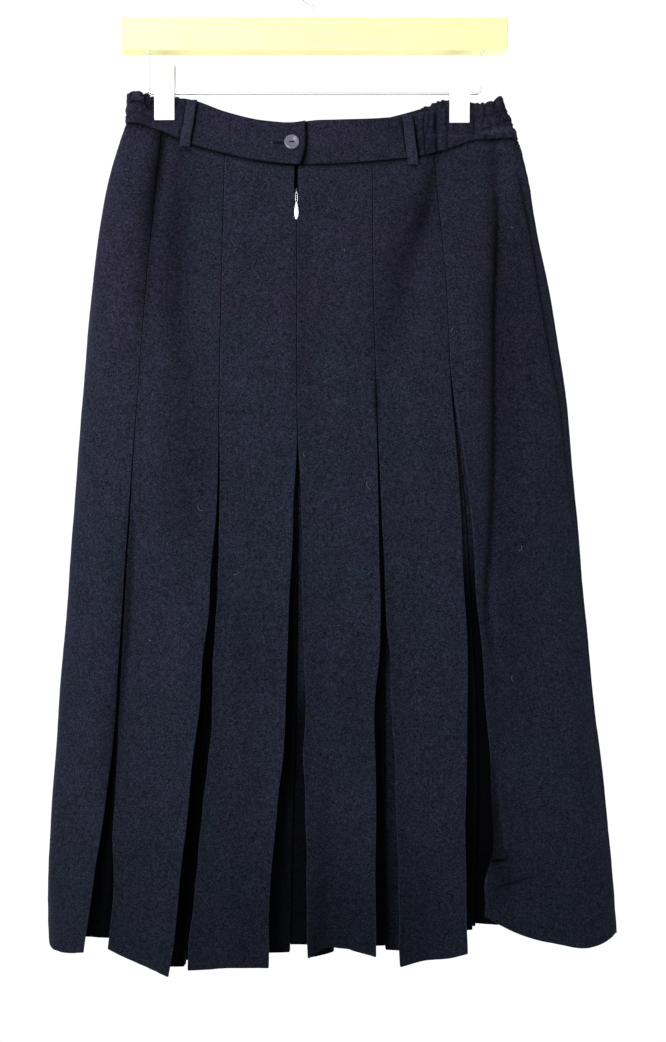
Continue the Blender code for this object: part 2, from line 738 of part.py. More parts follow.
def make_button():
    sides = 24
    points = []
    for radius, y in BUTTON_PROFILE:
        for k in range(sides):
            angle = 2 * math.pi * (k + 0.5) / sides
            points.append((radius * math.cos(angle), y, radius * math.sin(angle)))
    faces = [tuple(range(sides)), tuple(range(len(points) - sides, len(points)))]
    for r in range(len(BUTTON_PROFILE) - 1):
        for k in range(sides):
            a = sides * r + k
            b = sides * r + (k + 1) % sides
            faces.append((a, b, b + sides, a + sides))
    button = make_object("button", points, faces, "button")
    for side in (-1, 1):
        hole = cylinder("thread_hole", BUTTON_HOLE_RADIUS, 8, (side * BUTTON_HOLE_SPREAD, 0), -5, 10, 1)
        combine(button, hole, "DIFFERENCE")
    x, z = BUTTON_AT
    point, lean = surface(-1, x, z, BAND_OUT - TAB_LIFT - BUTTON_LIFT)
    stand(button, point - Vector((0, BUTTON_THICK, 0)), lean)


def make_zip_tapes(gores):
    left = gores["front_gore_3"]
    right = gores["front_gore_4"]
    for name, gore, towards, waist in (("zip_tape_left", left, -1, left.waist[-left.after]),
                                       ("zip_tape_right", right, 1, right.waist[right.before - 1])):
        rows = []
        for level in ZIP_LEVELS:
            z = row_height(level, waist, HEM_Z)
            middle = line_at("C", z)
            near = TAPE_NEAR_TOP if level < TAPE_TOP_LEVEL else TAPE_NEAR
            line = (middle + towards * near, middle + towards * TAPE_WIDTH)
            inset = TAPE_INSET + gore.face_inset(line[0], z)
            outer = [place(s, inset - TAPE_THICK / 2, z) for s in line]
            inner = [place(s, inset + TAPE_THICK / 2, z) for s in line]
            rows.append((outer, inner))
        wall(name, rows, "tape")


def zip_frame():
    """Middle of the bail and the lean of the cloth there."""
    x = smooth(ZIP_AXIS_Z, FRONT_X["z"], FRONT_X["C"])
    point, lean = surface(-1, x, ZIP_AXIS_Z - 8, 0)
    point, _ = surface(-1, x, ZIP_AXIS_Z, 0)
    out = Vector((0, -math.cos(lean), math.sin(lean)))
    return point + out * BAIL_STANDS, lean


def make_zip_slider():
    """Body behind the cloth, with a bail that stands out through the open seam."""
    centre, lean = zip_frame()
    body = prism("zip_slider", SLIDER_OUTLINE, SLIDER_BEHIND, SLIDER_BEHIND + SLIDER_THICK, 1, "zip_metal")
    outline = []
    neck = math.asin(BAIL_NECK / BAIL_OUTER)
    for angle in np.linspace(neck, 2 * math.pi - neck, 15):
        outline.append((BAIL_OUTER * math.cos(angle), BAIL_OUTER * math.sin(angle)))
    outline += [(SLIDER_BEHIND + BAIL_SINK, -BAIL_NECK), (SLIDER_BEHIND + BAIL_SINK, BAIL_NECK)]
    bail = prism("zip_bail", outline, -BAIL_HALF, BAIL_HALF, 0, None)
    hole = prism("zip_bail_hole", [(BAIL_HOLE * math.cos(a), BAIL_HOLE * math.sin(a))
                                   for a in (2 * math.pi * k / 16 for k in range(16))], -2, 2, 0, None)
    combine(bail, hole, "DIFFERENCE")
    combine(body, bail, "UNION")
    stand(body, centre, lean)


def make_zip_pull():
    """Flat drop with a window at its top, whose upper bar lies in the bail."""
    outer = [(-1.45, PULL_BAR), (1.45, PULL_BAR), (1.45, -2.6), (1.2, -3.4), (1.2, -8.6)]
    drop = [(1.7, -11.0), (2.3, -14.0), (2.5, -17.0), (2.3, -20.0), (1.6, -23.0), (0.7, -24.8)]
    outer += drop
    outer += [(-x, z) for x, z in reversed(drop)]
    outer += [(-1.2, -8.6), (-1.2, -3.4), (-1.45, -2.6)]
    window = [(-0.85, -PULL_BAR), (0.85, -PULL_BAR), (0.85, -2.1), (-0.85, -2.1)]
    work = bmesh.new()
    for loop in (outer, window):
        ring = [work.verts.new((x * MM, -PULL_THICK / 2 * MM, z * MM)) for x, z in loop]
        for k in range(len(ring)):
            work.edges.new((ring[k], ring[(k + 1) % len(ring)]))
    bmesh.ops.triangle_fill(work, edges=work.edges[:], use_beauty=True)
    grown = bmesh.ops.extrude_face_region(work, geom=work.faces[:], use_keep_orig=True)
    moved = [item for item in grown["geom"] if isinstance(item, bmesh.types.BMVert)]
    bmesh.ops.translate(work, verts=moved, vec=(0, PULL_THICK * MM, 0))
    bmesh.ops.recalc_face_normals(work, faces=work.faces)
    mesh = bpy.data.meshes.new("zip_pull")
    work.to_mesh(mesh)
    work.free()
    pull = bpy.data.objects.new("zip_pull", mesh)
    bpy.context.collection.objects.link(pull)
    finish(pull, "zip_metal")
    centre, lean = zip_frame()
    stand(pull, centre, lean - math.radians(PULL_TILT))


# -------------------------------------------------------------------- hanger
def make_bar():
    half = BAR["depth"] / 2
    outline = ((-half, BAR["bottom"]), (half, BAR["bottom"]), (half, BAR["top"]), (-half, BAR["top"]))
    bar = prism("hanger_bar", outline, BAR["left"], BAR["right"], 0, "wood")
    work = bmesh.new()
    work.from_mesh(bar.data)
    edge = BAR["edge"] * MM
    bmesh.ops.bevel(work, geom=work.edges[:], offset=edge, segments=2, profile=0.5, affect="EDGES")
    work.to_mesh(bar.data)
    work.free()
    stem = cylinder("stem_hole", STEM_HOLE, 12, (0, 0), BAR["top"] - STEM_DEEP - SEAM, 0, 2)
    combine(bar, stem, "DIFFERENCE")
    for x in ROD_ENDS:
        hole = cylinder("rod_hole", ROD_HOLE, 10, (x, 0), ROD_Z, BAR["bottom"] + ROD_DEEP + SEAM, 2)
        combine(bar, hole, "DIFFERENCE")


def make_hook():
    middle = HOOK_INNER + HOOK_WIRE
    centre = (0, -HOOK_INNER)
    line = arc(centre, middle, HOOK_TIP, HOOK_TURN, 24)
    heading = math.radians(HOOK_TURN + 90 - 360)
    bend = -line[-1][0] / (math.sin(heading) + 1)
    bend_centre_z = line[-1][1] - bend * math.cos(heading)
    line += arc((-bend, bend_centre_z), bend, math.degrees(heading) + 90, 0, 6)[1:]
    line.append((0, BAR["top"] - STEM_DEEP))
    tube("hanger_hook", line, HOOK_WIRE, 10, "steel")


def make_rod():
    left, right = ROD_ENDS
    top = BAR["bottom"] + ROD_DEEP
    level = ROD_Z + ROD_BEND
    line = [(left, top), (left, level + 2)]
    line += arc((left + ROD_BEND, level), ROD_BEND, 180, 270, 5)
    line += arc((right - ROD_BEND, level), ROD_BEND, 270, 360, 5)
    line += [(right, level + 2), (right, top)]
    tube("hanger_rod", line, ROD_WIRE, 8, "steel")


def make_clip(name, x):
    start = x - CLIP_WIDTH / 2
    end = x + CLIP_WIDTH / 2
    front = [(y, ROD_Z + z) for y, z in JAW_OUTLINE]
    back = [(-y, ROD_Z + z) for y, z in reversed(JAW_OUTLINE)]
    prism(f"{name}_front_jaw", front, start, end, 0, "plastic")
    prism(f"{name}_back_jaw", back, start, end, 0, "plastic")
    line = np.array(SPRING_LINE, dtype=float)
    way = np.gradient(line, axis=0)
    way /= np.linalg.norm(way, axis=1, keepdims=True)
    normal = np.stack([-way[:, 1], way[:, 0]], axis=1) * SPRING_THICK / 2
    outline = [(y, ROD_Z + z) for y, z in np.concatenate([line + normal, (line - normal)[::-1]])]
    prism(f"{name}_spring", outline, x - SPRING_WIDTH / 2, x + SPRING_WIDTH / 2, 0, "steel")


def main():
    for thing in list(bpy.data.objects):
        bpy.data.objects.remove(thing)
    gores = make_gores()
    make_waistband()
    make_belt_loops()
    make_button()
    make_zip_tapes(gores)
    make_zip_slider()
    make_zip_pull()
    make_bar()
    make_hook()
    make_rod()
    for name, (x, _) in CLIPS.items():
        make_clip(name, x)


main()
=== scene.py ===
import math

import bmesh
import bpy
import numpy as np
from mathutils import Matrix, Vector
from mathutils.bvhtree import BVHTree


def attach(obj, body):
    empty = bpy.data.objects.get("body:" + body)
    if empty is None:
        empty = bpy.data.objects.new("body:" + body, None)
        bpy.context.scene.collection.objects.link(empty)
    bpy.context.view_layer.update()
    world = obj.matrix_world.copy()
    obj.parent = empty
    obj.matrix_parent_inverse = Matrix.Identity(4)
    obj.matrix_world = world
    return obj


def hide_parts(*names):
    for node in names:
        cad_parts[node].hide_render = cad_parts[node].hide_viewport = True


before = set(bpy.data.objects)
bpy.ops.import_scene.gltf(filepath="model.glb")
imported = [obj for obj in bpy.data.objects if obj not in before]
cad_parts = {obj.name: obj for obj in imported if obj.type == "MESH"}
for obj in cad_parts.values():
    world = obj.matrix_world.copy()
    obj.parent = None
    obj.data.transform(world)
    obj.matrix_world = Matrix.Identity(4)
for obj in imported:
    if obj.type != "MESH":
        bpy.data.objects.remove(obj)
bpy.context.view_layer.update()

# Pleated midi skirt on a clip hanger. Lengths are in millimetres in this file and are
# turned into metres when a mesh is made. The cloth is laid out as in the CAD model: a
# place on it is a length s round the plan outline, counted from the left end over the
# front, and an inset counted inwards from the outer face of the cloth.

MM = 0.001
PHOTO_WIDTH = 666
PHOTO_HEIGHT = 1042


def table(names, *rows):
    """Columns of a table as arrays, by name."""
    return dict(zip(names.split(), np.array(rows, dtype=float).T))


# ------------------------------------------------- sizes shared with the CAD model
FACE = 0.6              # inset of the middle of the cloth on a gore's face
LAYER = 2.0
SEAM = 0.3
BAND_OUT = -0.6
BAND_IN = 1.8
SIDE_SEAM_LEFT = 11.0
SIDE_SEAM_RIGHT = 9.0
OUTLINE = table(
    "z left right",
    (-920, -245.5, 282), (-850, -247.5, 275.5), (-800, -243.5, 270), (-700, -236, 260),
    (-600, -228.5, 248.5), (-500, -220.2, 240.8), (-400, -212, 231), (-320, -205.5, 218.5),
    (-280, -201, 210.5), (-240, -194.8, 203.2), (-200, -187, 195.8), (-170, -178, 187.5),
    (-155, -173, 181.8), (-140, -172, 175.6), (-118, -169, 168.5))
HANG = table(
    "z front back end",
    (-920, 62.5, 61, 250), (-800, 58, 57, 235), (-700, 53, 52, 215), (-600, 48, 47, 190),
    (-500, 42.5, 41, 155), (-400, 36, 34, 110), (-300, 27.5, 25, 58), (-250, 21.5, 19, 34),
    (-200, 14.8, 12.5, 16), (-168, 9.8, 8.6, 9), (-118, 8.2, 7.2, 7))
WAIST = table(
    "x front_top front_seam back_top back_seam",
    (-175, -132, -155, -132, -155), (-168, -127, -156, -127, -156), (-163, -126, -156.5, -126, -156.5),
    (-149, -130, -160, -131, -160), (-137, -130, -165, -131.4, -165),
    (-110, -133.7, -177, -135, -176), (-82, -144.6, -185, -146, -185),
    (-48, -153.6, -192.5, -154, -192.5), (-17, -155.8, -196, -157, -196),
    (-5, -154, -195.7, -156.5, -195.8), (20, -153, -195, -155.5, -195.5),
    (60, -151.4, -192, -149, -190.5), (95, -146.8, -188, -141, -181), (124, -141.6, -180.5, -132.3, -173),
    (145, -138, -173, -134.5, -169.5), (160, -137, -171.8, -137, -170.5),
    (173, -132, -170.8, -132, -170.8), (188, -132, -170.8, -132, -170.8))
FRONT_X = table(
    "z A B C D E",
    (-920, -194.5, -120, -22.3, 65.9, 144.4), (-800, -184.7, -108.9, -19.2, 64.3, 148.2),
    (-700, -178.2, -99.4, -16.2, 63.4, 147.1), (-600, -172.9, -90.7, -14.8, 62.1, 141.5),
    (-500, -165.8, -84.8, -13.8, 59, 135.8), (-400, -158.6, -84.3, -14.8, 56, 123.8),
    (-300, -150.8, -83, -15.2, 53.7, 119.1), (-200, -142.5, -81.5, -15.7, 53.3, 110.9),
    (-150, -139, -81, -15.8, 53.5, 109))
FRONT_GAP = table(
    "z A B C D E",
    (-920, 24, 21, 35, 21.3, 22), (-800, 7, 12.5, 23.7, 19.3, 24.3),
    (-700, 1, 10, 17.7, 14.4, 20), (-600, 0, 6, 12.1, 4.8, 12.4),
    (-500, 0, 1.5, 5.9, 2, 8.2), (-450, 0, 0.3, 0.3, 0.8, 4.8),
    (-420, 0, 0, 0, 0.3, 2.4), (-384, 0, 0, 0, 0, 0), (-231, 0, 0, 0, 0, 0),
    (-221, 0, 0, 4.0, 0, 0), (-150, 0, 0, 4.0, 0, 0))
BACK_X = table(
    "z F G H I J",
    (-920, 168, 84, -9, -86, -172), (-750, 154, 76, -5, -77, -152),
    (-600, 143, 71, -2, -70, -136), (-450, 131, 66, 1, -64, -121),
    (-300, 122, 62, 3, -58, -111), (-150, 116, 60, 4, -54, -104))
BACK_GAP = table(
    "z F G H I J",
    (-920, 25, 28, 23, 26, 20), (-750, 15, 17, 14, 16, 10), (-600, 8, 9, 6, 10, 4),
    (-470, 2, 3, 0.5, 3, 0), (-410, 0, 0, 0, 0, 0), (-150, 0, 0, 0, 0, 0))
PLEAT_SIZES = ("waist", "hem", "opens", "step", "under")
PLEATS = {
    "A": (9, 19, -700, 2.0, 4.6), "B": (11, 23, -430, 2.0, 4.6), "C": (14, 23, -445, 3.0, 8.2),
    "D": (11, 23, -395, 2.0, 4.6), "E": (11, 23, -384, 2.0, 4.6), "F": (11, 23, -420, 2.0, 4.6),
    "G": (11, 23, -410, 2.0, 4.6), "H": (11, 23, -450, 2.0, 4.6), "I": (11, 23, -410, 2.0, 4.6),
    "J": (11, 21, -470, 2.0, 4.6)}
FOLD_OPEN = 10.0
UNDER_OPEN = 21.0
HOLLOW = 4.0
GORES = (
    ("front_gore_1", "left", "A", (-894.5, -908.8, -911, -910, -907)),
    ("front_gore_2", "A", "B", (-903, -908.1, -913, -917.6, -922)),
    ("front_gore_3", "B", "C", (-917, -915.4, -914, -912.9, -912)),
    ("front_gore_4", "C", "D", (-905, -895.4, -895.4, -897.4, -902)),
    ("front_gore_5", "D", "E", (-912, -908.4, -906.5, -905, -901)),
    ("front_gore_6", "E", "right", (-870.5, -887.6, -898, -904.5, -896)),
    ("back_gore_1", "right", "F", (-897, -905, -903)),
    ("back_gore_2", "F", "G", (-906, -908, -904)),
    ("back_gore_3", "G", "H", (-900, -904, -906)),
    ("back_gore_4", "H", "I", (-908, -904, -901)),
    ("back_gore_5", "I", "J", (-903, -906, -904)),
    ("back_gore_6", "J", "left", (-901, -905, -899)))
# Hem of the left and right half of a pleat inside its gap, where it differs from the corner's
UNDER_HEM = {
    "A": (-899, -891), "B": (-920.5, -916), "C": (-906, -900.5), "D": (-899, -904.5), "E": (-886.5, -882),
    "F": (-893, -893)}
# Painted shade inside a pleat, how dark it lies down its left and right half: height, share
INNER = {
    "B": (((-440, 0.2), (-520, 0.35), (-590, 0.6), (-640, 1.0)),) * 2,
    "C": (((-445, 0.4), (-500, 0.6), (-545, 0.9), (-590, 1.0), (-750, 1.0), (-770, 0.9), (-920, 0.84)),
          ((-445, 0.3), (-490, 0.2), (-545, 0.2), (-584, 0.12), (-650, 0.10), (-675, 0.6), (-700, 0.9),
           (-920, 0.86))),
    "D": (((-400, 0.5), (-480, 0.3), (-560, 0.5), (-600, 1.0)),
          ((-400, 0.5), (-480, 0.3), (-560, 0.5), (-590, 0.9), (-625, 0.8), (-655, 0.3), (-760, 0.42),
           (-800, 0.3), (-920, 0.36))),
    "E": (((-400, 0.1), (-500, 0.15), (-545, 0.3), (-575, 0.9), (-600, 1.0)),
          ((-400, 0.1), (-500, 0.15), (-540, 0.4), (-575, 0.9), (-600, 1.0)))}
INNER_ELSEWHERE = (((-150, 1.0),),) * 2
# How slowly a pleat's underlay falls back below the place where it opens
UNDER_POWER = {"C": 1.4, "D": 1.6, "E": 2.2}
WAIST_Z = -175.0
HEM_Z = -905.0
WAIST_BLEND = 0.15
HEM_BLEND = 0.25
LOOP_LEFT_X = -111.0
LOOP_RIGHT_X = 90.0
BACK_ELASTIC_LEFT_X = -96.0
BACK_ELASTIC_RIGHT_X = 98.0
TAB_END_X = -7.8
TAB_LIFT = 1.7
TAB_LIFT_X = -52.0
TAB_LIFT_LENGTH = 16.0
TAB_SLANT = 5.0
UNDERLAP_X = -30.0
UNDERLAP_DROP = 1.1
UNDERLAP_DROP_X = -6.0
UNDERLAP_DROP_LENGTH = 12.0
LOOP_WIDTH = 9.5
LOOP_STANDS = 2.6
BELT_LOOPS = {
    "belt_loop_front_left": (-1, -111.5, -117.5), "belt_loop_front_right": (-1, 85.0, 90.5),
    "belt_loop_back_left": (1, -64.0, -65.0), "belt_loop_back_right": (1, 62.0, 63.0)}
LOOP_BELOW = {"belt_loop_front_left": 6.0, "belt_loop_front_right": 8.2}
CLIPS = {"clip_left": (-137.0, -155.0), "clip_right": (133.5, -162.0)}
CLIP_BAND = 2.1
GRIP_FADE = 10.0
PINCH_HALF = 10.5
PINCH_INNER = 80.0
PINCH_OUTER = 12.0

# --------------------------------------------------------------- sizes of the looks
HALF = 0.45             # half the thickness of the cloth
SWELL = 0.5             # slow waves of the cloth
CRINKLED = 0.09         # and its fine unevenness
GATHERS_REACH = 15.0
# Where a change down the skirt begins, and the length over which it grows
SAGS = (-400, 500)
CURLS = (-380, 260)
CRINKLES_MORE = (-780, 80)
SHADED_HEM = (-770, 110)
HEM_DEEP = 38.0         # turned-up hem
HEM_EXTRA = 0.6
FLANGE = 7.0            # seam allowance on the inside
WAIST_TUCKS_IN = 2.2    # the gores' top edge goes in and up behind the waist seam
WAIST_GOES_UP = 1.1
WRINKLED_ROWS = (628, 705, 1.5)
# Soft folds of the hanging cloth as in the CAD model: side (-1 front, 1 back), line from
# top to bottom, width, depth
FOLDS = table(
    "side x_top z_top x_low z_low width depth",
    (-1, 164, -178, 160, -560, 13, 3.5), (-1, -124, -190, -131, -340, 12, 1.6),
    (-1, 100, -195, 80, -310, 15, 1.8), (-1, -156, -320, -183, -800, 15, 3.0),
    (1, 150, -220, 168, -560, 15, 3.0), (1, -146, -230, -168, -600, 15, 3.0),
    (1, 34, -480, 30, -800, 13, 1.6))
# Valleys laid over them, as points down each line with its place, its width on the left and
# the right, its depth, and how dark it lies as painted shade
VALLEY_COLUMNS = "z x left right deep dark"
FRONT_VALLEYS = (
    (  # below the left clip
        (-160, -138.0, 6, 5.5, 2.8, 0.92), (-190, -141.0, 7, 5.5, 3.4, 1.0),
        (-215, -144.2, 7.5, 6, 3.4, 1.0), (-238, -147.0, 8, 6.5, 2.8, 0.92),
        (-266, -149.8, 9, 7, 2.2, 0.66), (-294, -151.5, 9, 8, 1.8, 0.50), (-330, -154.8, 9, 9, 1.4, 0.32),
        (-380, -158.0, 9, 9, 0.8, 0.14), (-440, -161, 9, 8, 0, 0)),
    (  # right of it, broad
        (-178, -122, 8, 14, 1.0, 0.28), (-200, -122.5, 12, 18, 1.6, 0.38),
        (-238, -123, 15, 18, 2.0, 0.46), (-266, -124.2, 16, 17, 2.4, 0.54),
        (-294, -124, 15, 16, 2.4, 0.50), (-331, -124.3, 15, 15, 2.0, 0.46),
        (-367, -122.2, 15, 16, 1.6, 0.38), (-412, -119, 18, 20, 1.4, 0.36),
        (-457, -115.4, 20, 22, 1.2, 0.36), (-519, -113, 22, 22, 0.8, 0.30),
        (-560, -110, 20, 20, 0.4, 0.18), (-600, -106, 16, 14, 0, 0)),
    (  # drawn in from the right belt loop
        (-186, 110.2, 4, 4, 1.6, 0.40), (-198, 108.6, 6, 6, 2.2, 0.54), (-215, 105.5, 9, 8, 3.0, 0.64),
        (-238, 100.8, 13, 10, 3.4, 0.74), (-266, 91.0, 15, 12, 3.2, 0.58),
        (-294, 79.4, 17, 13, 3.0, 0.50), (-331, 70.6, 17, 15, 2.4, 0.36), (-367, 60.0, 13, 13, 1.6, 0.22),
        (-410, 52, 12, 12, 0, 0)),
    (  # below the right clip
        (-172, 165.2, 3, 3, 1.0, 0.30), (-190, 165.0, 4, 4, 1.8, 0.38), (-215, 164.6, 4, 4, 2.4, 0.48),
        (-238, 166.0, 4.5, 3.6, 3.4, 0.80), (-266, 166.3, 5, 3.4, 4.2, 0.98),
        (-294, 165.5, 5.5, 3.4, 4.6, 1.0), (-331, 164.2, 5.5, 3.6, 4.6, 1.0),
        (-367, 163.8, 5.5, 3.6, 4.4, 0.98), (-412, 163.5, 5.5, 3.6, 4.0, 0.95),
        (-457, 163.2, 5.5, 3.8, 3.8, 0.93), (-501, 161.6, 5.5, 4, 3.4, 0.90),
        (-546, 158.2, 5, 4, 3.0, 0.86), (-590, 154.6, 4, 3.5, 2.4, 0.80), (-620, 155.5, 4, 5, 2.0, 0.60),
        (-650, 158, 5, 9, 1.6, 0.40), (-679, 160.5, 6, 14, 1.4, 0.30), (-723, 163.5, 8, 14, 1.2, 0.28),
        (-767, 167, 9, 12, 0.8, 0.14), (-800, 172, 10, 12, 0, 0)),
    (  # right of it, broad
        (-215, 170, 6, 16, 0, 0), (-250, 171, 6, 18, 1.2, 0.26), (-294, 170, 6, 20, 1.8, 0.40),
        (-412, 169, 6, 23, 1.8, 0.40), (-501, 168, 6, 23, 1.6, 0.34), (-600, 171, 7, 25, 1.2, 0.24),
        (-700, 178, 8, 26, 0.6, 0.16), (-780, 184, 8, 26, 0, 0)),
    (  # low on the left gore
        (-480, -164.8, 6, 5, 0, 0), (-546, -165.8, 6, 5, 1.4, 0.46), (-590, -168.0, 6, 5, 2.0, 0.66),
        (-635, -171.6, 6, 5, 2.2, 0.66), (-680, -175.5, 6, 5, 2.0, 0.60), (-710, -178.6, 8, 5, 1.6, 0.60),
        (-740, -181, 8, 5, 1.0, 0.48), (-780, -184.5, 7, 5, 0.6, 0.20), (-820, -187, 7, 5, 0, 0)),
    (  # right edge of the zip's cover
        (-230, -10, 5, 9, 0, 0), (-266, -10, 5, 9, 0.8, 0.18), (-321, -10.5, 5, 9, 0.9, 0.20),
        (-367, -11, 5, 9, 0.7, 0.15), (-440, -10, 5, 9, 0, 0)),
    (  # left edge of the zip's cover
        (-230, -38, 9, 6, 0, 0), (-290, -39, 9, 6, 0.8, 0.14), (-340, -40, 9, 6, 0.4, 0.06),
        (-390, -40, 9, 6, 0, 0)),
    (  # low on the fourth gore
        (-590, 11, 12, 8, 0, 0), (-700, 10, 12, 8, 0.6, 0.10), (-800, 9, 13, 10, 1.8, 0.36),
        (-850, 8, 14, 10, 2.0, 0.48), (-905, 6, 15, 8, 1.8, 0.46)),
    (  # low on the fifth gore
        (-740, 98, 10, 8, 0, 0), (-820, 99, 10, 8, 0.8, 0.08), (-870, 100, 8, 6, 1.6, 0.16),
        (-905, 101, 8, 6, 1.8, 0.14)),
    (  # fold low on the last gore
        (-700, 155, 8, 8, 0, 0), (-730, 158, 11, 10, 0.8, 0.50), (-766, 160, 14, 12, 1.6, 0.76),
        (-801, 162, 18, 12, 1.8, 0.82), (-822, 164, 18, 13, 1.6, 0.66), (-838, 166, 18, 18, 0.8, 0.46),
        (-856, 166, 18, 20, 0.4, 0.24), (-875, 166, 16, 18, 0, 0)),
    (  # third gore, broad
        (-540, -55, 26, 24, 0, 0), (-600, -58, 28, 26, 0.3, 0.14), (-640, -58, 28, 26, 0.4, 0.24),
        (-690, -58, 26, 24, 0.5, 0.12), (-800, -62, 24, 22, 0.8, 0.12), (-905, -64, 24, 24, 1.2, 0.16)),
    (  # fourth gore, broad
        (-600, 32, 20, 20, 0, 0), (-640, 34, 22, 20, 0.3, 0.16), (-690, 34, 22, 20, 0.3, 0.20),
        (-760, 34, 22, 20, 0, 0.06), (-800, 34, 22, 20, 0, 0)),
    (  # end of the fourth pleat's stitching
        (-378, 55.4, 1.8, 1.8, 0, 0), (-396, 55.9, 2.0, 2.0, 0.5, 0.80),
        (-425, 56.7, 2.0, 2.0, 0.5, 0.80), (-445, 57.4, 1.8, 1.8, 0, 0)),
    (  # right side seam
        (-196, 184, 1.5, 1.5, 0, 0), (-213, 187.5, 1.5, 1.5, 0.4, 0.6), (-232, 192, 1.6, 1.6, 0.6, 0.85),
        (-268, 198.7, 1.6, 1.6, 0.6, 0.85), (-309, 204.8, 1.6, 1.6, 0.6, 0.85),
        (-345, 210.8, 1.6, 1.6, 0.6, 0.85), (-380, 217, 1.6, 1.6, 0.6, 0.80),
        (-410, 223.1, 1.6, 1.6, 0.5, 0.70), (-464, 229.7, 1.5, 1.5, 0.4, 0.5),
        (-519, 235.6, 1.5, 1.5, 0.3, 0.3), (-570, 240.5, 1.5, 1.5, 0, 0)),
)
BACK_VALLEYS = (
    (  # below the right clip
        (-170, 140, 6, 6, 2.0, 0.35), (-215, 143, 7, 9, 3.0, 0.56), (-300, 148, 8, 10, 3.6, 0.62),
        (-400, 155, 8, 12, 3.0, 0.50), (-500, 162, 10, 14, 1.8, 0.28), (-620, 170, 12, 14, 0, 0)),
    (  # below the left clip
        (-175, -118, 5, 6, 2.0, 0.50), (-220, -124, 6, 8, 3.0, 0.60), (-290, -131, 8, 9, 3.0, 0.50),
        (-370, -140, 9, 10, 2.2, 0.34), (-480, -150, 10, 12, 1.2, 0.18), (-600, -160, 10, 12, 0, 0)),
    (  # second gore
        (-200, 84, 10, 9, 0, 0), (-240, 88, 12, 10, 1.8, 0.30), (-300, 94, 14, 12, 2.4, 0.36),
        (-380, 100, 14, 12, 1.4, 0.20), (-460, 104, 12, 12, 0, 0)),
    (  # fifth gore
        (-210, -82, 9, 10, 0, 0), (-260, -88, 10, 12, 1.6, 0.26), (-330, -94, 12, 12, 1.8, 0.26),
        (-420, -98, 12, 12, 1.0, 0.14), (-520, -100, 12, 12, 0, 0)),
)
# Each front loop throws a painted shadow below it, and a fold turned back beside the last gap ends in
# wrinkles: ends of each line (z, x), depth, how dark it lies as painted shade, below 0 a painted highlight
WRINKLES = (
    ((-181.6, -123), (-181.8, -112), 0.2, 0.75), ((-196.6, 85), (-196.8, 95.5), 0.2, 0.85),
    ((-740, 164.5), (-812, 172.5), -1.2, -0.75), ((-822, 154), (-821, 173), 1.4, 0.7),
    ((-812, 172), (-824, 174), 0.8, 0.4), ((-842, 174), (-836, 198), 1.2, 0.6),
    ((-846, 158), (-842, 176), 0.8, 0.4), ((-862, 156), (-858, 166), 0.5, 0.2))
WRINKLE_WIDTH = 1.3
# Beside an open pleat a gore's right edge curls out and its left edge in: depth, reach
CURL_OUT = (1.3, 9.0)
CURL_IN = (3.4, 15.0)
# Places where a crease leaves its even line: side of the pleat, height, length, shift
KINKS = {
    "A": ((1, -840, 40, 0.8), (-1, -830, 62, 3.2), (-1, -908, 26, 2.3), (1, -908, 26, -4.0)),
    "B": ((1, -700, 90, 2.7), (1, -780, 40, 1.0), (1, -900, 40, -1.2), (-1, -655, 60, -1.5),
          (-1, -725, 40, -1.6), (-1, -800, 45, -1.6), (-1, -890, 60, -4.0), (1, -905, 28, -2.4)),
    "C": ((1, -676, 20, 1.7), (1, -728, 26, -2.2), (-1, -733, 20, -0.8), (-1, -815, 60, 3.6),
          (-1, -890, 40, 1.6), (1, -905, 30, -0.6), (-1, -905, 25, -2.2)),
    "D": ((-1, -640, 16, -0.9), (-1, -688, 34, 2.8), (1, -800, 60, 0.8)),
    "E": ((1, -690, 30, -1.2), (1, -840, 16, -4.5), (1, -885, 45, -5.6), (1, -800, 26, 2.0),
          (-1, -760, 60, 0.8), (-1, -905, 30, -2.8))}


# --------------------------------------------------------------------- mathematics
def smooth(x, xs, ys):
    """Height at x of a smooth curve through the points, level past both ends."""
    slope = np.gradient(ys, xs)
    x = np.clip(x, xs[0], xs[-1])
    i = np.clip(np.searchsorted(xs, x) - 1, 0, len(xs) - 2)
    span = xs[i + 1] - xs[i]
    t = (x - xs[i]) / span
    start = (1 + 2 * t) * (1 - t) ** 2 * ys[i] + t * (1 - t) ** 2 * span * slope[i]
    end = t * t * (3 - 2 * t) * ys[i + 1] + t * t * (t - 1) * span * slope[i + 1]
    return start + end


def curve(columns, name, at):
    """Value of a table's column on a smooth curve over its first column."""
    return smooth(at, next(iter(columns.values())), columns[name])


def ease(t):
    """Soft step from 0 to 1."""
    t = np.clip(t, 0.0, 1.0)
    return t * t * (3 - 2 * t)


def grown(z, top, length):
    """0 above a height, growing to 1 over a length below it."""
    return ease((top - z) / length)


def bell(x, centre, width):
    return np.exp(-((x - centre) / width) ** 2)


def line_frame(x, y, start, end):
    """Lengths along a straight line and square to it, and the line's own length."""
    way = np.subtract(end, start)
    length = float(np.hypot(*way))
    along = ((x - start[0]) * way[0] + (y - start[1]) * way[1]) / length
    across = ((x - start[0]) * way[1] - (y - start[1]) * way[0]) / length
    return along, across, length


def pinch(x, centre):
    """1 under a clip, fading to 0 beside it."""
    away = np.abs(x - centre) - PINCH_HALF
    inwards = (x - centre) * np.sign(centre) < 0
    return 1 - ease(away / np.where(inwards, PINCH_INNER, PINCH_OUTER))


def depth(side, x, z):
    """Distance of the cloth's outer face from the middle plane."""
    free = curve(HANG, side, z)
    held = 0.0
    for centre, low in CLIPS.values():
        held = np.maximum(held, pinch(x, centre) * ease((z - low + GRIP_FADE) / GRIP_FADE))
    return free * (1 - held) + CLIP_BAND * held


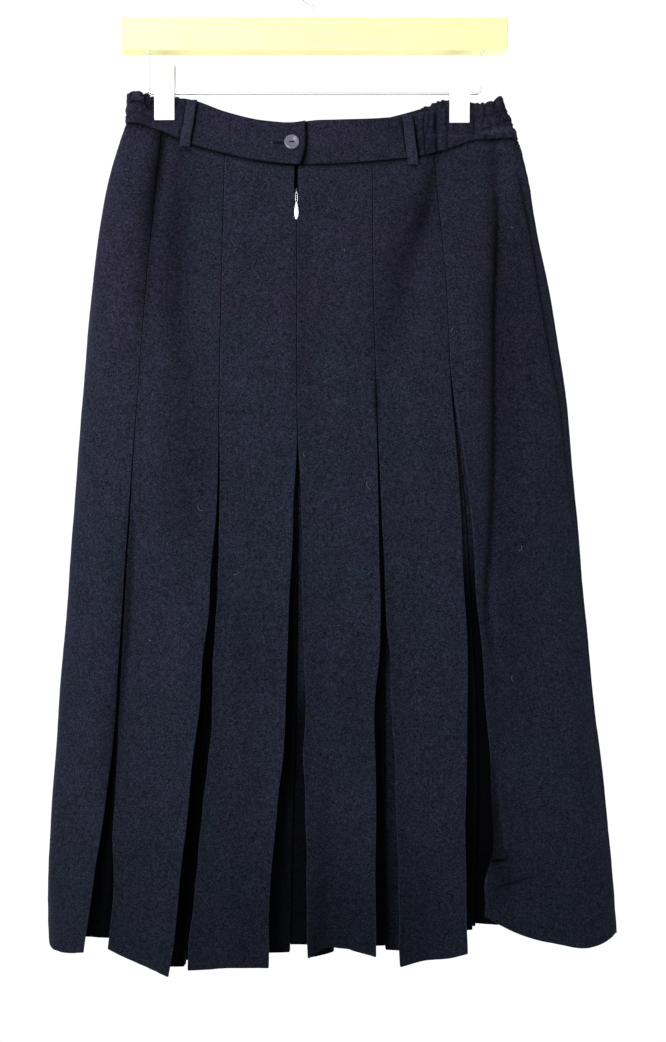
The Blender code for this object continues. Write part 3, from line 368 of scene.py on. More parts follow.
class Waves:
    """Smooth uneven relief: a sum of waves of random direction and phase."""

    def __init__(self, seed, across, down, count=9):
        random = np.random.default_rng(seed)
        self.u = random.normal(0, 1, count) * 2 * math.pi / across
        self.v = random.normal(0, 1, count) * 2 * math.pi / down
        self.phase = random.uniform(0, 2 * math.pi, count)

    def __call__(self, s, z):
        total = 0.0
        for u, v, phase in zip(self.u, self.v, self.phase):
            total = total + np.sin(u * s + v * z + phase)
        return total / math.sqrt(len(self.u) / 2)


# ------------------------------------------------------------ plan of the skirt
class Layout:
    """The skirt's outline at every millimetre of height, as arrays over s."""

    LOW = -930
    HIGH = -112
    STATIONS = 320
    MARGIN = 60
    X_LOW = -260
    X_HIGH = 300

    def __init__(self):
        z = np.arange(self.LOW, self.HIGH + 1, dtype=float)[:, None]
        left = curve(OUTLINE, "left", z)
        right = curve(OUTLINE, "right", z)
        end = curve(HANG, "end", z)
        turn = (1 - np.cos(np.linspace(0, math.pi, self.STATIONS + 1))) / 2
        x = left + (right - left) * turn
        share = np.clip(np.minimum(x - left, right - x) / end, 0, 1)
        cap = np.sqrt(share * (2 - share))
        front = -depth("front", x, z) * cap
        back = depth("back", x, z) * cap
        ring = np.stack([
            np.concatenate([x[:, :-1], x[:, :0:-1]], axis=1),
            np.concatenate([front[:, :-1], back[:, :0:-1]], axis=1)], axis=2)
        tangent = np.roll(ring, -1, axis=1) - np.roll(ring, 1, axis=1)
        tangent /= np.linalg.norm(tangent, axis=2, keepdims=True)
        values = np.concatenate([ring, -tangent[:, :, 1:], tangent[:, :, :1]], axis=2)
        values = np.concatenate([values, values[:, :1]], axis=1)
        steps = np.linalg.norm(np.diff(values[:, :, :2], axis=1), axis=2)
        length = np.concatenate([np.zeros_like(z), np.cumsum(steps, axis=1)], axis=1)
        self.total = length[:, -1]
        self.front_end = length[:, self.STATIONS]
        s = np.arange(-self.MARGIN, self.total.max() + self.MARGIN)
        across = np.arange(self.X_LOW, self.X_HIGH + 1, dtype=float)
        count = len(z)
        self.values = [np.empty((count, len(s))) for _ in range(4)]
        self.front_along = np.empty((count, len(across)))
        self.back_along = np.empty((count, len(across)))
        for r in range(count):
            round_s = s % self.total[r]
            for k in range(4):
                self.values[k][r] = np.interp(round_s, length[r], values[r, :, k])
            self.front_along[r] = np.interp(across, x[r], length[r, :self.STATIONS + 1])
            self.back_along[r] = np.interp(across, x[r], length[r, self.STATIONS:][::-1])

    def row(self, values, z):
        return np.interp(z, np.arange(self.LOW, self.HIGH + 1), values)

    def sample(self, grid, z, column):
        """Value between the points of a grid of heights and columns."""
        down = np.clip(z - self.LOW, 0, grid.shape[0] - 1.001)
        column = np.clip(column, 0, grid.shape[1] - 1.001)
        r = down.astype(int)
        c = column.astype(int)
        f = down - r
        g = column - c
        upper = grid[r, c] * (1 - g) + grid[r, c + 1] * g
        lower = grid[r + 1, c] * (1 - g) + grid[r + 1, c + 1] * g
        return upper * (1 - f) + lower * f

    def along(self, side, x, z):
        """Length from the left end to the place at x, over the front (-1) or to the back (1)."""
        x, z = np.broadcast_arrays(np.asarray(x, float), np.asarray(z, float))
        grid = self.front_along if side < 0 else self.back_along
        return self.sample(grid, z, x - self.X_LOW)

    def place(self, s, inset, z):
        """Points in space at length s, inset and height, as an array with a last axis of 3."""
        s, inset, z = np.broadcast_arrays(*(np.asarray(values, float) for values in (s, inset, z)))
        x, y, nx, ny = (self.sample(grid, z, s + self.MARGIN) for grid in self.values)
        size = np.hypot(nx, ny)
        return np.stack([x + inset * nx / size, y + inset * ny / size, z], axis=-1)


LAYOUT = Layout()
SAG = Waves(11, 46, 210)
CRINKLE = Waves(12, 15, 34)
EDGE_WAVES = {line: (Waves(40 + i, 1e6, 110, 5), Waves(60 + i, 1e6, 110, 5)) for i, line in enumerate(PLEATS)}
GATHER_WAVES = Waves(21, 9, 260)


def line_at(line, z):
    """Length s of a pleat line or side seam at height z."""
    if line == "left":
        return np.full_like(z, -SIDE_SEAM_LEFT)
    if line == "right":
        return LAYOUT.row(LAYOUT.front_end, z) - SIDE_SEAM_RIGHT
    if line in FRONT_X:
        return LAYOUT.along(-1, curve(FRONT_X, line, z), z)
    return LAYOUT.along(1, curve(BACK_X, line, z), z)


def open_at(line, z):
    """How far apart a pleat's creases are."""
    columns = FRONT_GAP if line in FRONT_GAP else BACK_GAP
    return np.interp(z, columns["z"], columns[line])


def crease_at(line, z, towards):
    """Distance of one crease from the pleat line, with its small kinks."""
    if line not in PLEATS:
        return np.full_like(z, SEAM / 2)
    gap = open_at(line, z)
    away = SEAM / 2 + gap / 2
    free = ease(gap / 8)
    for side, height, length, shift in KINKS.get(line, ()):
        if side == towards:
            away = away + shift * bell(z, height, length) * ease(gap / 3)
    wave = EDGE_WAVES[line][0 if towards < 0 else 1]
    return away + 0.45 * free * wave(0, z)


def elastic_share(x, y):
    """1 where the waistband above is elastic, 0 where it is plain."""
    left = np.where(y < 0, LOOP_LEFT_X, BACK_ELASTIC_LEFT_X)
    right = np.where(y < 0, LOOP_RIGHT_X, BACK_ELASTIC_RIGHT_X)
    return np.maximum(ease((left - x) / 12), ease((x - right) / 12))


def waist_height(edge, s, z):
    """Height of the waistband's top or of the waist seam above the place s."""
    x, y, _ = np.moveaxis(LAYOUT.place(s, 0, z), -1, 0)
    return np.where(y < 0, curve(WAIST, "front_" + edge, x), curve(WAIST, "back_" + edge, x))


def soft_folds(x, y, z):
    """Inset of the cloth in its soft hanging folds."""
    inset = np.zeros_like(z)
    for side, x_top, z_top, x_low, z_low, width, deep in zip(*FOLDS.values()):
        down = np.clip((z_top - z) / (z_top - z_low), 0, 1)
        across = (x - x_top - down * (x_low - x_top)) / width
        valley = np.sin(math.pi * down) ** 0.7 * np.exp(-across ** 2)
        inset += deep * valley * (np.sign(y) == side)
    return inset


def valleys(x, y, z):
    """Inset of the cloth in its finer valleys, and how dark they lie as painted shade (below 0, from a
    wrinkle, a painted highlight).
    """
    inset = np.zeros_like(z)
    dark = np.zeros_like(z)
    lines = [(-1, rows) for rows in FRONT_VALLEYS] + [(1, rows) for rows in BACK_VALLEYS]
    for side, rows in lines:
        line = table(VALLEY_COLUMNS, *rows[::-1])
        centre, left, right, deep, shade = (curve(line, name, z) for name in list(line)[1:])
        here = (np.sign(y) == side) * (z <= rows[0][0] + 14)
        reach = np.where(x < centre, left, right)
        inset += deep * np.exp(-((x - centre) / (reach + 2.5)) ** 2) * here
        # painted shade down each valley
        dark = np.maximum(dark, shade * np.exp(-(np.abs(x - centre) / reach) ** 1.5) * here)
    for start, end, deep, shade in WRINKLES:
        along, across, length = line_frame(z, x, start, end)
        share = along / length
        line = bell(across, 0, WRINKLE_WIDTH) * ease((share + 0.1) / 0.25) * ease((1.1 - share) / 0.25)
        line = line * (y < 0)
        inset += deep * line
        # painted shadow below the loops and painted shade in the wrinkles; below 0 a painted highlight
        dark = dark + shade * line
    return inset, dark


# ------------------------------------------------------- cloth of one gore, as columns
# The columns lie closer together past this share of the last front gore, by the side seam
SEAM_SHARE = 0.86
# How deep in the pleat each column of half a pleat lies
INNER_SHARE = np.array([1.0] * 11 + [0.9, 0.8, 0.7, 0.6, 0.5] + [0.35, 0.2, 0.1, 0.03] + [0.0] * 7)


class Gore:
    """One panel with the pleat halves at its sides, as finely divided columns of cloth."""

    def __init__(self, first, last):
        self.first = first
        self.last = last

    def span(self, z):
        start = line_at(self.first, z)
        end = line_at(self.last, z)
        end = np.where(end < start, end + LAYOUT.row(LAYOUT.total, z), end)
        return start, end

    def face_inset(self, s, z):
        """How far the face lies in from the plan outline, and the painted shade on it."""
        start, end = self.span(z)
        share = np.clip((s - start) / (end - start), 0, 1)
        sag = HOLLOW * grown(z, *SAGS) * np.sin(math.pi * share)
        x, y, _ = np.moveaxis(LAYOUT.place(s, 0, z), -1, 0)
        below = waist_height("seam", s, z) - z
        relief = SWELL * SAG(s, z) * ease(below / 120)
        relief += CRINKLED * CRINKLE(s, z) * (0.6 + grown(z, *CRINKLES_MORE))
        relief += elastic_share(x, y) * np.exp(-np.maximum(below, 0) / GATHERS_REACH) * GATHER_WAVES(s, z)
        deep, dark = valleys(x, y, z)
        lifted = grown(z, *CURLS)
        from_left = np.maximum(s - start - crease_at(self.first, z, 1), 0)
        from_right = np.maximum(end - crease_at(self.last, z, -1) - s, 0)
        curl_in = lifted * np.exp(-from_left / CURL_IN[1]) * (self.first in PLEATS)
        curl_out = lifted * np.exp(-from_right / CURL_OUT[1]) * (self.last in PLEATS)
        inset = sag + soft_folds(x, y, z) + deep + relief + CURL_IN[0] * curl_in - CURL_OUT[0] * curl_out
        # painted shade on the gore's left edge where it curls in behind the pleat, with the valleys' painted
        # shade
        return inset, np.maximum(dark, 0.30 * curl_in)

    def half_pleat(self, line, z, towards):
        """Columns (away from the line, inset, painted shade inside the pleat, wear and painted highlight on
        the crease) from the seam allowance to the crease.
        """
        crease = crease_at(line, z, towards)
        if line not in PLEATS:
            return self.side_seam(crease)
        sizes = dict(zip(PLEAT_SIZES, PLEATS[line]))
        down = (WAIST_Z - z) / (WAIST_Z - HEM_Z)
        opened = np.maximum(0.0, (sizes["opens"] - z) / (sizes["opens"] - HEM_Z))
        reach = sizes["waist"] + (sizes["hem"] - sizes["waist"]) * down
        wing = FACE + LAYER + FOLD_OPEN * opened
        inner = wing + sizes["step"]
        under = np.maximum(sizes["under"] + UNDER_OPEN * opened ** UNDER_POWER.get(line, 0.8), inner)
        fold = sizes["step"] / 2
        edge = 0.5 + 0.5 * ease(open_at(line, z) / 3)
        # The third value of each column is painted shade inside the pleat, the fourth the crease's lighter
        # rim from wear and painted highlight.
        columns = []
        for t in (1.0, 0.93, 0.5, 0.0):
            columns.append((SEAM / 2 + HALF, under + 1 + FLANGE * t, 1.0, 0.0))
        for angle in (0.5, 1.1, math.pi / 2):
            columns.append((SEAM / 2 + HALF + 1 - math.cos(angle), under + 1 - math.sin(angle), 1.0, 0.0))
        near = SEAM / 2 + HALF + 1
        far = crease + reach - fold
        middle = (crease + 0.5 * reach) / (crease + reach)
        for t in (0.2, 0.4, 0.6, 0.8):
            bend = np.where(t < middle, 0.5 * t / middle, 0.5 + 0.5 * (t - middle) / (1 - middle))
            columns.append((near + (far - near) * t, under + (inner - under) * bend, 1.0, 0.0))
        for angle in (90, 45, 0, -45, -90):
            turn = math.radians(angle)
            middle = (inner + wing) / 2
            columns.append((far + fold * math.cos(turn), middle + fold * math.sin(turn), 1.0, 0.0))
        start = crease + FACE + edge
        for t in (0.2, 0.45, 0.7, 0.9):
            columns.append((far + (start - far) * t, wing + (FACE + 2 * edge - wing) * t, 1.0 - 0.6 * t, 0.0))
        for angle in (90, 55, 25, 0, -25, -55, -90):
            turn = math.radians(angle)
            # the crease's rim is lighter from wear and a painted highlight; its turn into the pleat takes
            # painted shade
            wear_and_highlight = max(0.0, 1 - abs(angle + 25) / 60)
            inner_shade = max(0.0, angle / 180)
            columns.append((start - edge * math.cos(turn), FACE + edge + edge * math.sin(turn), inner_shade, wear_and_highlight))
        return columns

    def side_seam(self, crease):
        """Columns where two gores are joined edge to edge, with the seam turned in."""
        columns = []
        for t in (1.0, 0.93, 0.5, 0.0):
            columns.append((crease + HALF, FACE + 0.7 + FLANGE * t, 1.0, 0.0))
        for angle in (0.4, 0.8, 1.2, math.pi / 2):
            turn_away = crease + HALF + 0.7 * (1 - math.cos(angle))
            columns.append((turn_away, FACE + 0.7 * (1 - math.sin(angle)), 0.0, 0.0))
        return columns

    def fold(self, line, z, base, towards):
        """One half pleat as arrays of s, inset, painted inner shade and wear with painted highlight over
        heights and columns.
        """
        columns = self.half_pleat(line, z, towards)
        s, inset, inner_shade, wear_and_highlight = (
            np.stack([np.broadcast_to(column[k], z.shape)[:, c] for c, column in enumerate(columns)], axis=1)
            for k in range(4))
        rows = np.array(INNER.get(line, INNER_ELSEWHERE)[0 if towards < 0 else 1])[::-1]
        return base + towards * s, inset, inner_shade * np.interp(z, rows[:, 0], rows[:, 1]), wear_and_highlight

    def lines(self, z, share, before, after):
        """s, inset of the folds, painted inner shade and wear with painted highlight of all columns at the
        heights z.
        """
        start, end = self.span(z)
        near = start + crease_at(self.first, z, 1) + 2 * FACE
        far = end - crease_at(self.last, z, -1) - 2 * FACE
        face = (near + (far - near) * share, np.full(z.shape, FACE), np.zeros(z.shape), np.zeros(z.shape))
        first = self.fold(self.first, z[:, :before], start[:, :before], 1)
        last = self.fold(self.last, z[:, -after:][:, ::-1], end[:, -after:][:, ::-1], -1)
        return [np.concatenate([left, middle[:, before:-after], right[:, ::-1]], axis=1)
                for left, middle, right in zip(first, face, last)]

    def columns(self, z_for):
        """Arrays of s, inset, painted shade, wear with painted highlight, and z over heights and columns."""
        level = np.array([[HEM_Z]])
        start, end = self.span(level)
        steps = max(34, int(round((end - start).item() / 2.2)))
        before, after = (len(self.half_pleat(line, level, 1)) for line in (self.first, self.last))
        across = np.arange(1, steps) / steps
        if self.last == "right":
            close = np.arange(SEAM_SHARE, 0.999, 0.006)
            across = np.concatenate([across[across < SEAM_SHARE - 0.005], close])
        share = np.concatenate([np.zeros(before), across, np.ones(after)])
        z = np.full((1, len(share)), WAIST_Z)
        for _ in range(4):
            z = waist_height("seam", self.lines(z, share, before, after)[0], z)
        inner = np.zeros(len(share))
        if self.first in PLEATS:
            inner[:before] = INNER_SHARE
        if self.last in PLEATS:
            inner[-after:] = INNER_SHARE[::-1]
        z = z_for(z, share, inner)
        s, inset, inner_shade, wear_and_highlight = self.lines(z, share, before, after)
        face, dark = self.face_inset(s, z)
        return s, inset + face, np.maximum(inner_shade, dark), wear_and_highlight, z


# ------------------------------------------------------------------- mesh building
def strip_faces(grid):
    """Quads between the rows and columns of a grid of vertex numbers."""
    return np.stack([grid[:-1, :-1], grid[1:, :-1], grid[1:, 1:], grid[:-1, 1:]], axis=-1).reshape(-1, 4)


def new_object(name, points, faces, sharp=50):
    """Object from points in millimetres and lists of vertex numbers."""
    mesh = bpy.data.meshes.new(name)
    mesh.from_pydata((np.asarray(points) * MM).tolist(), [], [list(map(int, face)) for face in faces])
    mesh.update()
    mesh.shade_smooth()
    mesh.set_sharp_from_angle(angle=math.radians(sharp))
    thing = bpy.data.objects.new(name, mesh)
    bpy.context.collection.objects.link(thing)
    return thing


def shell(name, outer, inner, weave):
    """Closed shell between two grids of points, with its weave's coordinates."""
    rows, count = outer.shape[:2]
    front = np.arange(rows * count).reshape(rows, count)
    back = front + rows * count
    faces = [strip_faces(front), strip_faces(back)[:, ::-1]]
    for near, far, reverse in ((front[0], back[0], False), (front[-1], back[-1], True),
                               (front[:, 0], back[:, 0], True), (front[:, -1], back[:, -1], False)):
        rim = np.stack([near[:-1], near[1:], far[1:], far[:-1]], axis=-1)
        faces.append(rim[:, ::-1] if reverse else rim)
    points = np.concatenate([outer.reshape(-1, 3), inner.reshape(-1, 3)])
    thing = new_object(name, points, np.concatenate(faces))
    values = np.concatenate([weave.reshape(-1, 3)] * 2).astype(np.float32)
    attribute = thing.data.attributes.new("weave", "FLOAT_VECTOR", "POINT")
    attribute.data.foreach_set("vector", values.ravel())
    return thing


def taper(away, radius):
    """Share of the full thickness at a distance from a rounded edge."""
    t = np.clip(away / radius, 0, 1)
    return np.sqrt(np.maximum(1 - (1 - t) ** 2, 0.02))


def thickened(s, inset, z, outwards, inwards):
    """Outer and inner points beside a grid of middle points, square to each row's line."""
    line = np.stack([s, inset], axis=-1)
    way = np.diff(line, axis=1)
    way /= np.linalg.norm(way, axis=2, keepdims=True)
    normal = np.stack([way[..., 1], -way[..., 0]], axis=-1)
    before = np.concatenate([normal[:, :1], normal], axis=1)
    after = np.concatenate([normal, normal[:, -1:]], axis=1)
    mitre = (before + after) / (1 + np.sum(before * after, axis=2, keepdims=True))
    outer = line + outwards[..., None] * mitre
    inner = line - inwards[..., None] * mitre
    return LAYOUT.place(outer[..., 0], outer[..., 1], z), LAYOUT.place(inner[..., 0], inner[..., 1], z)


def dress(thing, slot, body="skirt", nodes=(), material=None):
    """Give a piece its body, the nodes it stands for, its slot and its material."""
    thing.data.materials.clear()
    thing.data.materials.append(material or MATERIALS[slot])
    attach(thing, body)
    if nodes:
        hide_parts(*nodes)
    return thing


def cloth_piece(name, s, inset, z, outwards, inwards, path, wear_and_painted_light):
    """Dressed shell for the cloth node of that name.

    The weave's coordinates are the length along the cloth, the height, and the wear and painted
    light: above 0 lighter, from wear and painted highlights; below 0 painted shade, as inside a fold.
    """
    outer, inner = thickened(s, inset, z, outwards, inwards)
    weave = np.stack([path * MM, z * MM, wear_and_painted_light], axis=-1)
    return dress(shell(f"{name}_cloth", outer, inner, weave), "skirt_cloth", nodes=(name,))


# ----------------------------------------------------------------------- materials
class Nodes:
    """Short way to write the nodes of a material or a world."""

    def __init__(self, owner):
        owner.use_nodes = True
        self.owner = owner
        self.tree = owner.node_tree
        self.shader = self.tree.nodes.get("Principled BSDF")

    def add(self, kind, **settings):
        node = self.tree.nodes.new(kind)
        for key, value in settings.items():
            setattr(node, key, value)
        return node

    def link(self, source, target):
        """Connect a socket to another, or set a number or a colour."""
        if isinstance(source, bpy.types.NodeSocket):
            self.tree.links.new(source, target)
        elif isinstance(source, tuple) and len(target.default_value) == 4:
            target.default_value = (*source, 1.0)
        else:
            target.default_value = source

    def fill(self, node, *sources):
        """Give a node its inputs in their order; returns its first output."""
        for source, target in zip(sources, node.inputs):
            self.link(source, target)
        return node.outputs[0]

    def math(self, operation, *values, clamp=False):
        return self.fill(self.add("ShaderNodeMath", operation=operation, use_clamp=clamp), *values)

    def plus(self, first, second):
        return self.math("ADD", first, second)

    def minus(self, first, second):
        return self.math("SUBTRACT", first, second)

    def times(self, first, second, clamp=False):
        return self.math("MULTIPLY", first, second, clamp=clamp)

    def noise(self, vector, scale, detail=2.0, roughness=0.5):
        node = self.add("ShaderNodeTexNoise")
        self.link(vector, node.inputs["Vector"])
        self.link(scale, node.inputs["Scale"])
        self.link(detail, node.inputs["Detail"])
        self.link(roughness, node.inputs["Roughness"])
        return node.outputs["Fac"]

    def stretched(self, *scale):
        """Object coordinates, stretched."""
        mapping = self.add("ShaderNodeMapping")
        mapping.inputs["Scale"].default_value = scale
        self.link(self.add("ShaderNodeTexCoord").outputs["Object"], mapping.inputs["Vector"])
        return mapping.outputs["Vector"]

    def mix(self, factor, first, second):
        node = self.add("ShaderNodeMix", data_type="RGBA")
        self.link(factor, node.inputs["Factor"])
        colours = [socket for socket in node.inputs if socket.type == "RGBA"]
        self.link(first, colours[0])
        self.link(second, colours[1])
        return [socket for socket in node.outputs if socket.type == "RGBA"][0]

    def tinted(self, colour, tint):
        return self.fill(self.add("ShaderNodeVectorMath", operation="MULTIPLY"), colour, tint)

    def scaled(self, colour, factor):
        node = self.add("ShaderNodeVectorMath", operation="SCALE")
        self.link(colour, node.inputs[0])
        self.link(factor, node.inputs["Scale"])
        return node.outputs[0]

    def bump(self, height, distance, strength):
        node = self.add("ShaderNodeBump")
        node.inputs["Strength"].default_value = strength
        node.inputs["Distance"].default_value = distance
        self.link(height, node.inputs["Height"])
        self.link(node.outputs["Normal"], self.shader.inputs["Normal"])

    def set(self, **values):
        for key, value in values.items():
            self.link(value, self.shader.inputs[key.replace("_", " ")])


def new_material(name):
    return Nodes(bpy.data.materials.new(name))


# The cloth's tone is a little cooler down the skirt, from this height over this length, and
# its twill repeats at this pitch, all in metres
UPPER_TINT = (0.95, 0.93, 0.97)
LOWER_TINT = (0.86, 1.0, 1.02)
COOLER_BELOW = -0.33
COOLER_OVER = 0.25
TWILL_PITCH = 0.0021


def cloth_material(name, first, second):
    """Dark wool crepe: fine twill, grain, slow change of colour, crease edges lighter from wear and painted
    highlight, painted highlight at grazing angles, painted shade in inner folds.
    """
    n = new_material(name)
    parts = n.add("ShaderNodeSeparateXYZ")
    across, height, wear_and_painted_light = parts.outputs
    n.link(n.add("ShaderNodeAttribute", attribute_name="weave").outputs["Vector"], parts.inputs[0])
    place = n.stretched(1, 1, 1)
    slant = n.plus(n.times(across, 0.5), n.times(height, -0.87))
    waver = n.times(n.noise(place, 260, 1.0), 0.0016)
    twill = n.math("SINE", n.times(n.plus(slant, waver), 2 * math.pi / TWILL_PITCH))
    grain = n.minus(n.noise(place, 900, 2.0, 0.6), 0.5)
    slub = n.minus(n.noise(place, 330, 2.0, 0.6), 0.5)
    cloud = n.minus(n.noise(place, 42), 0.5)
    tone = n.times(n.minus(n.noise(place, 15, 3.0, 0.6), 0.38), 4.2, clamp=True)
    cooler = n.times(n.minus(COOLER_BELOW, height), 1 / COOLER_OVER, clamp=True)
    colour = n.tinted(n.mix(tone, first, second), n.mix(cooler, UPPER_TINT, LOWER_TINT))
    light = 1.0
    for pattern, strength in ((grain, 2.3), (slub, 0.9), (cloud, 0.22), (twill, 0.045)):
        light = n.plus(light, n.times(pattern, strength))
    light = n.math("POWER", n.math("MAXIMUM", light, 0.3), 2.0)
    # lighter where worn and where a highlight is painted
    light = n.plus(light, n.times(n.math("MAXIMUM", wear_and_painted_light, 0.0), 0.75))
    # painted highlight where the cloth turns away from the view
    edge = n.add("ShaderNodeLayerWeight")
    edge.inputs["Blend"].default_value = 0.5
    light = n.plus(light, n.times(n.math("POWER", edge.outputs["Facing"], 3.0), 1.7))
    # painted shade in folds, valleys and seams and towards the hem
    inner_shade = n.math("MAXIMUM", n.times(wear_and_painted_light, -1.0), 0.0)
    light = n.times(light, n.minus(1.0, n.times(inner_shade, 0.93)))
    n.set(Base_Color=n.scaled(colour, light), Roughness=0.9, Specular_IOR_Level=0.03,
          Sheen_Weight=0.03, Sheen_Roughness=0.5, Sheen_Tint=(0.75, 0.8, 1.0))
    n.bump(n.plus(n.times(twill, 0.2), n.times(grain, 1.6)), 0.00025, 0.8)
    return n.owner


def wood_material():
    """Clear varnished pine with its grain along the bar."""
    n = new_material("pine")
    bands = n.math("SINE", n.times(n.noise(n.stretched(5, 90, 60), 1.0, 3.0, 0.55), 46.0))
    fibres = n.noise(n.stretched(22, 700, 700), 1.0)
    colour = n.mix(n.plus(0.5, n.times(bands, 0.34)), (1.0, 0.97, 0.44), (0.96, 0.89, 0.38))
    n.set(Base_Color=n.scaled(colour, n.plus(0.9, n.times(fibres, 0.2))),
          Roughness=n.plus(0.36, n.times(fibres, 0.2)), Coat_Weight=0.25, Coat_Roughness=0.2)
    n.bump(n.plus(bands, fibres), 0.0001, 0.5)
    return n.owner


def metal_material(name, colour, roughness, brush):
    n = new_material(name)
    scratches = n.noise(n.stretched(*brush), 1.0)
    n.set(Base_Color=n.scaled(colour, n.plus(0.85, n.times(scratches, 0.3))), Metallic=1.0,
          Roughness=n.plus(roughness, n.times(scratches, 0.16)))
    n.bump(scratches, 0.00003, 0.4)
    return n.owner


def plastic_material(name, colour, roughness, scale):
    n = new_material(name)
    cloud = n.noise(n.stretched(1, 1, 1), scale)
    n.set(Base_Color=n.scaled(colour, n.plus(0.9, n.times(cloud, 0.2))), Specular_IOR_Level=0.5,
          Roughness=n.plus(roughness, n.times(cloud, 0.12)))
    n.bump(cloud, 0.00005, 0.3)
    return n.owner


def tape_material():
    n = new_material("zip_tape_weave")
    ribs = n.noise(n.stretched(300, 300, 2600), 1.0, 1.0)
    n.set(Base_Color=n.scaled((0.007, 0.008, 0.012), n.plus(0.6, n.times(ribs, 0.8))), Roughness=0.85,
          Specular_IOR_Level=0.2)
    n.bump(ribs, 0.0001, 0.6)
    return n.owner


MATERIALS = {
    "skirt_cloth": cloth_material("wool_crepe", (0.0160, 0.0147, 0.0272), (0.0128, 0.0158, 0.0254)),
    "button": plastic_material("button_resin", (0.105, 0.105, 0.15), 0.25, 300),
    "zip_tape": tape_material(),
    "zip_metal": metal_material("zip_nickel", (0.72, 0.72, 0.74), 0.2, (900, 900, 300)),
    "hanger_wood": wood_material(),
    "clip_plastic": plastic_material("clip_white", (0.9, 0.9, 0.89), 0.3, 60),
    "hanger_wire": metal_material("plated_wire", (0.82, 0.82, 0.84), 0.14, (200, 1500, 1500)),
}
THREAD = cloth_material("dark_thread", (0.012, 0.012, 0.02), (0.014, 0.014, 0.022))
# The buttonhole's stitches are near black, thread colour and painted shade of the slit; the bar tack's thread
# is lighter than the cloth.
SLIT_THREAD_AND_SHADE = cloth_material("slit_thread_and_shade", (0.0035, 0.0035, 0.007), (0.0045, 0.0045, 0.008))
LIGHT_THREAD = cloth_material("lighter_thread", (0.042, 0.042, 0.056), (0.040, 0.042, 0.056))


# --------------------------------------------------------------------------- gores
def row_heights(waist, hem, wrinkled):
    """Heights of a gore's rows, close together at its ends and where it is wrinkled."""
    full = WAIST_Z - HEM_Z
    below = [0, 0.15, 0.4, 0.9, 1.8]
    below += [*np.arange(4, 44, 2.5), *np.arange(44, 120, 5), *np.arange(120, full - 10, 7)]
    below += [full - up for up in (9, 5, 2.5, 1.2, 0.5, 0.25, 0.08, 0)]
    if wrinkled:
        below += list(np.arange(*WRINKLED_ROWS))
    level = np.array(sorted(below))[:, None] / full
    even = WAIST_Z + level * (HEM_Z - WAIST_Z)
    near_waist = np.maximum(0.0, 1 - level / WAIST_BLEND) ** 2
    near_hem = np.maximum(0.0, 1 - (1 - level) / HEM_BLEND) ** 1.5
    return even + (waist - WAIST_Z) * near_waist + (hem - HEM_Z) * near_hem


def make_gore(name, first, last, hem):
    gore = Gore(first, last)
    under = (UNDER_HEM.get(first, hem[:1] * 2)[1], UNDER_HEM.get(last, hem[-1:] * 2)[0])

    def z_for(waist, share, inner):
        corner = smooth(share, np.linspace(0, 1, len(hem)), np.array(hem, dtype=float))
        hem_z = corner + inner * (np.where(share < 0.5, *under) - corner)
        return row_heights(waist, hem_z, name == "front_gore_6")

    s, inset, inner_shade, wear_and_highlight, z = gore.columns(z_for)
    from_hem = z - z[-1:]
    from_waist = z[:1] - z
    inset = inset + WAIST_TUCKS_IN * np.exp(-from_waist / 1.3)
    z = z + WAIST_GOES_UP * np.exp(-from_waist / 0.6)
    # painted shade along the waist seam
    inner_shade = np.maximum(inner_shade, bell(from_waist, 0, 2.5))
    edge = taper(from_hem, 0.7) * taper(from_waist + 0.1, 0.5)
    turned_up = ease((HEM_DEEP - from_hem) / 1.6)
    outwards = (HALF + 0.1 * turned_up) * edge
    inwards = (HALF + HEM_EXTRA * turned_up * (1 - 0.9 * inner_shade)) * edge
    path = np.cumsum(np.hypot(np.diff(s, prepend=s[:, :1]), np.diff(inset, prepend=inset[:, :1])), axis=1)
    path -= path[:, path.shape[1] // 2, None]
    # the hem's edge is lighter from wear and a painted highlight
    hem_wear_and_highlight = 0.5 * bell(from_hem, 0.0, 0.8)
    wear_and_highlight = np.maximum(wear_and_highlight * np.clip(1 - 1.6 * inner_shade, 0, 1), hem_wear_and_highlight * (inner_shade < 0.1))
    x = LAYOUT.place(s, 0, z)[..., 0]
    # painted shade towards the hem, deepest near the middle
    shade = grown(z, *SHADED_HEM) * (0.12 + 0.32 * bell(x, 20, 95))
    wear_and_painted_light = wear_and_highlight - (1 - (1 - inner_shade) * (1 - shade))
    return cloth_piece(name, s, inset, z, outwards, inwards, path, wear_and_painted_light)


GORE_PIECES = {name: make_gore(name, first, last, hem) for name, first, last, hem in GORES}


# ----------------------------------------------------------------------- waistband
BAND_MIDDLE = (BAND_OUT + BAND_IN) / 2
BAND_HALF = (BAND_IN - BAND_OUT) / 2
BAND_EDGE = 1.3         # rounding of the band's edges
BAND_Z = -165.0         # about the height of its middle
# Distances of the band's rows below its top edge
BAND_DOWN = np.array([
    0, 0.1, 0.4, 0.9, 1.3, 2.2, 4, 6.5, 9, 11, 13, 15.5, 18, 20, 22, 24, 26.5, 29, 31.5, 33.8, 35.2, 36.2,
    36.7, 37.1, 37.5, 37.9, 38])
BAND_LAP = 0.25         # the rounded ends of its pieces meet
RUFFLE_PITCH = 7.0
RUFFLE_DRIFT = Waves(31, 26, 150)
RUFFLE_SIZE = Waves(32, 17, 60)
RUFFLE_FINE = Waves(34, 3.6, 26)
BAND_WAVES = Waves(33, 55, 60)


def ruffles(s, z):
    """Outward swell of gathered cloth, from 0 in its sharp valleys to about 1.5, and the painted shade in the
    valleys.
    """
    phase = s / RUFFLE_PITCH + 0.42 * RUFFLE_DRIFT(s, z)
    swell = np.abs(np.sin(math.pi * phase)) ** 0.6
    size = np.clip(0.95 + 0.35 * RUFFLE_SIZE(s, z), 0.35, 1.5)
    return swell * size + 0.1 * RUFFLE_FINE(s, z), np.clip(1 - 1.6 * swell, 0, 1) * np.clip(size, 0, 1)
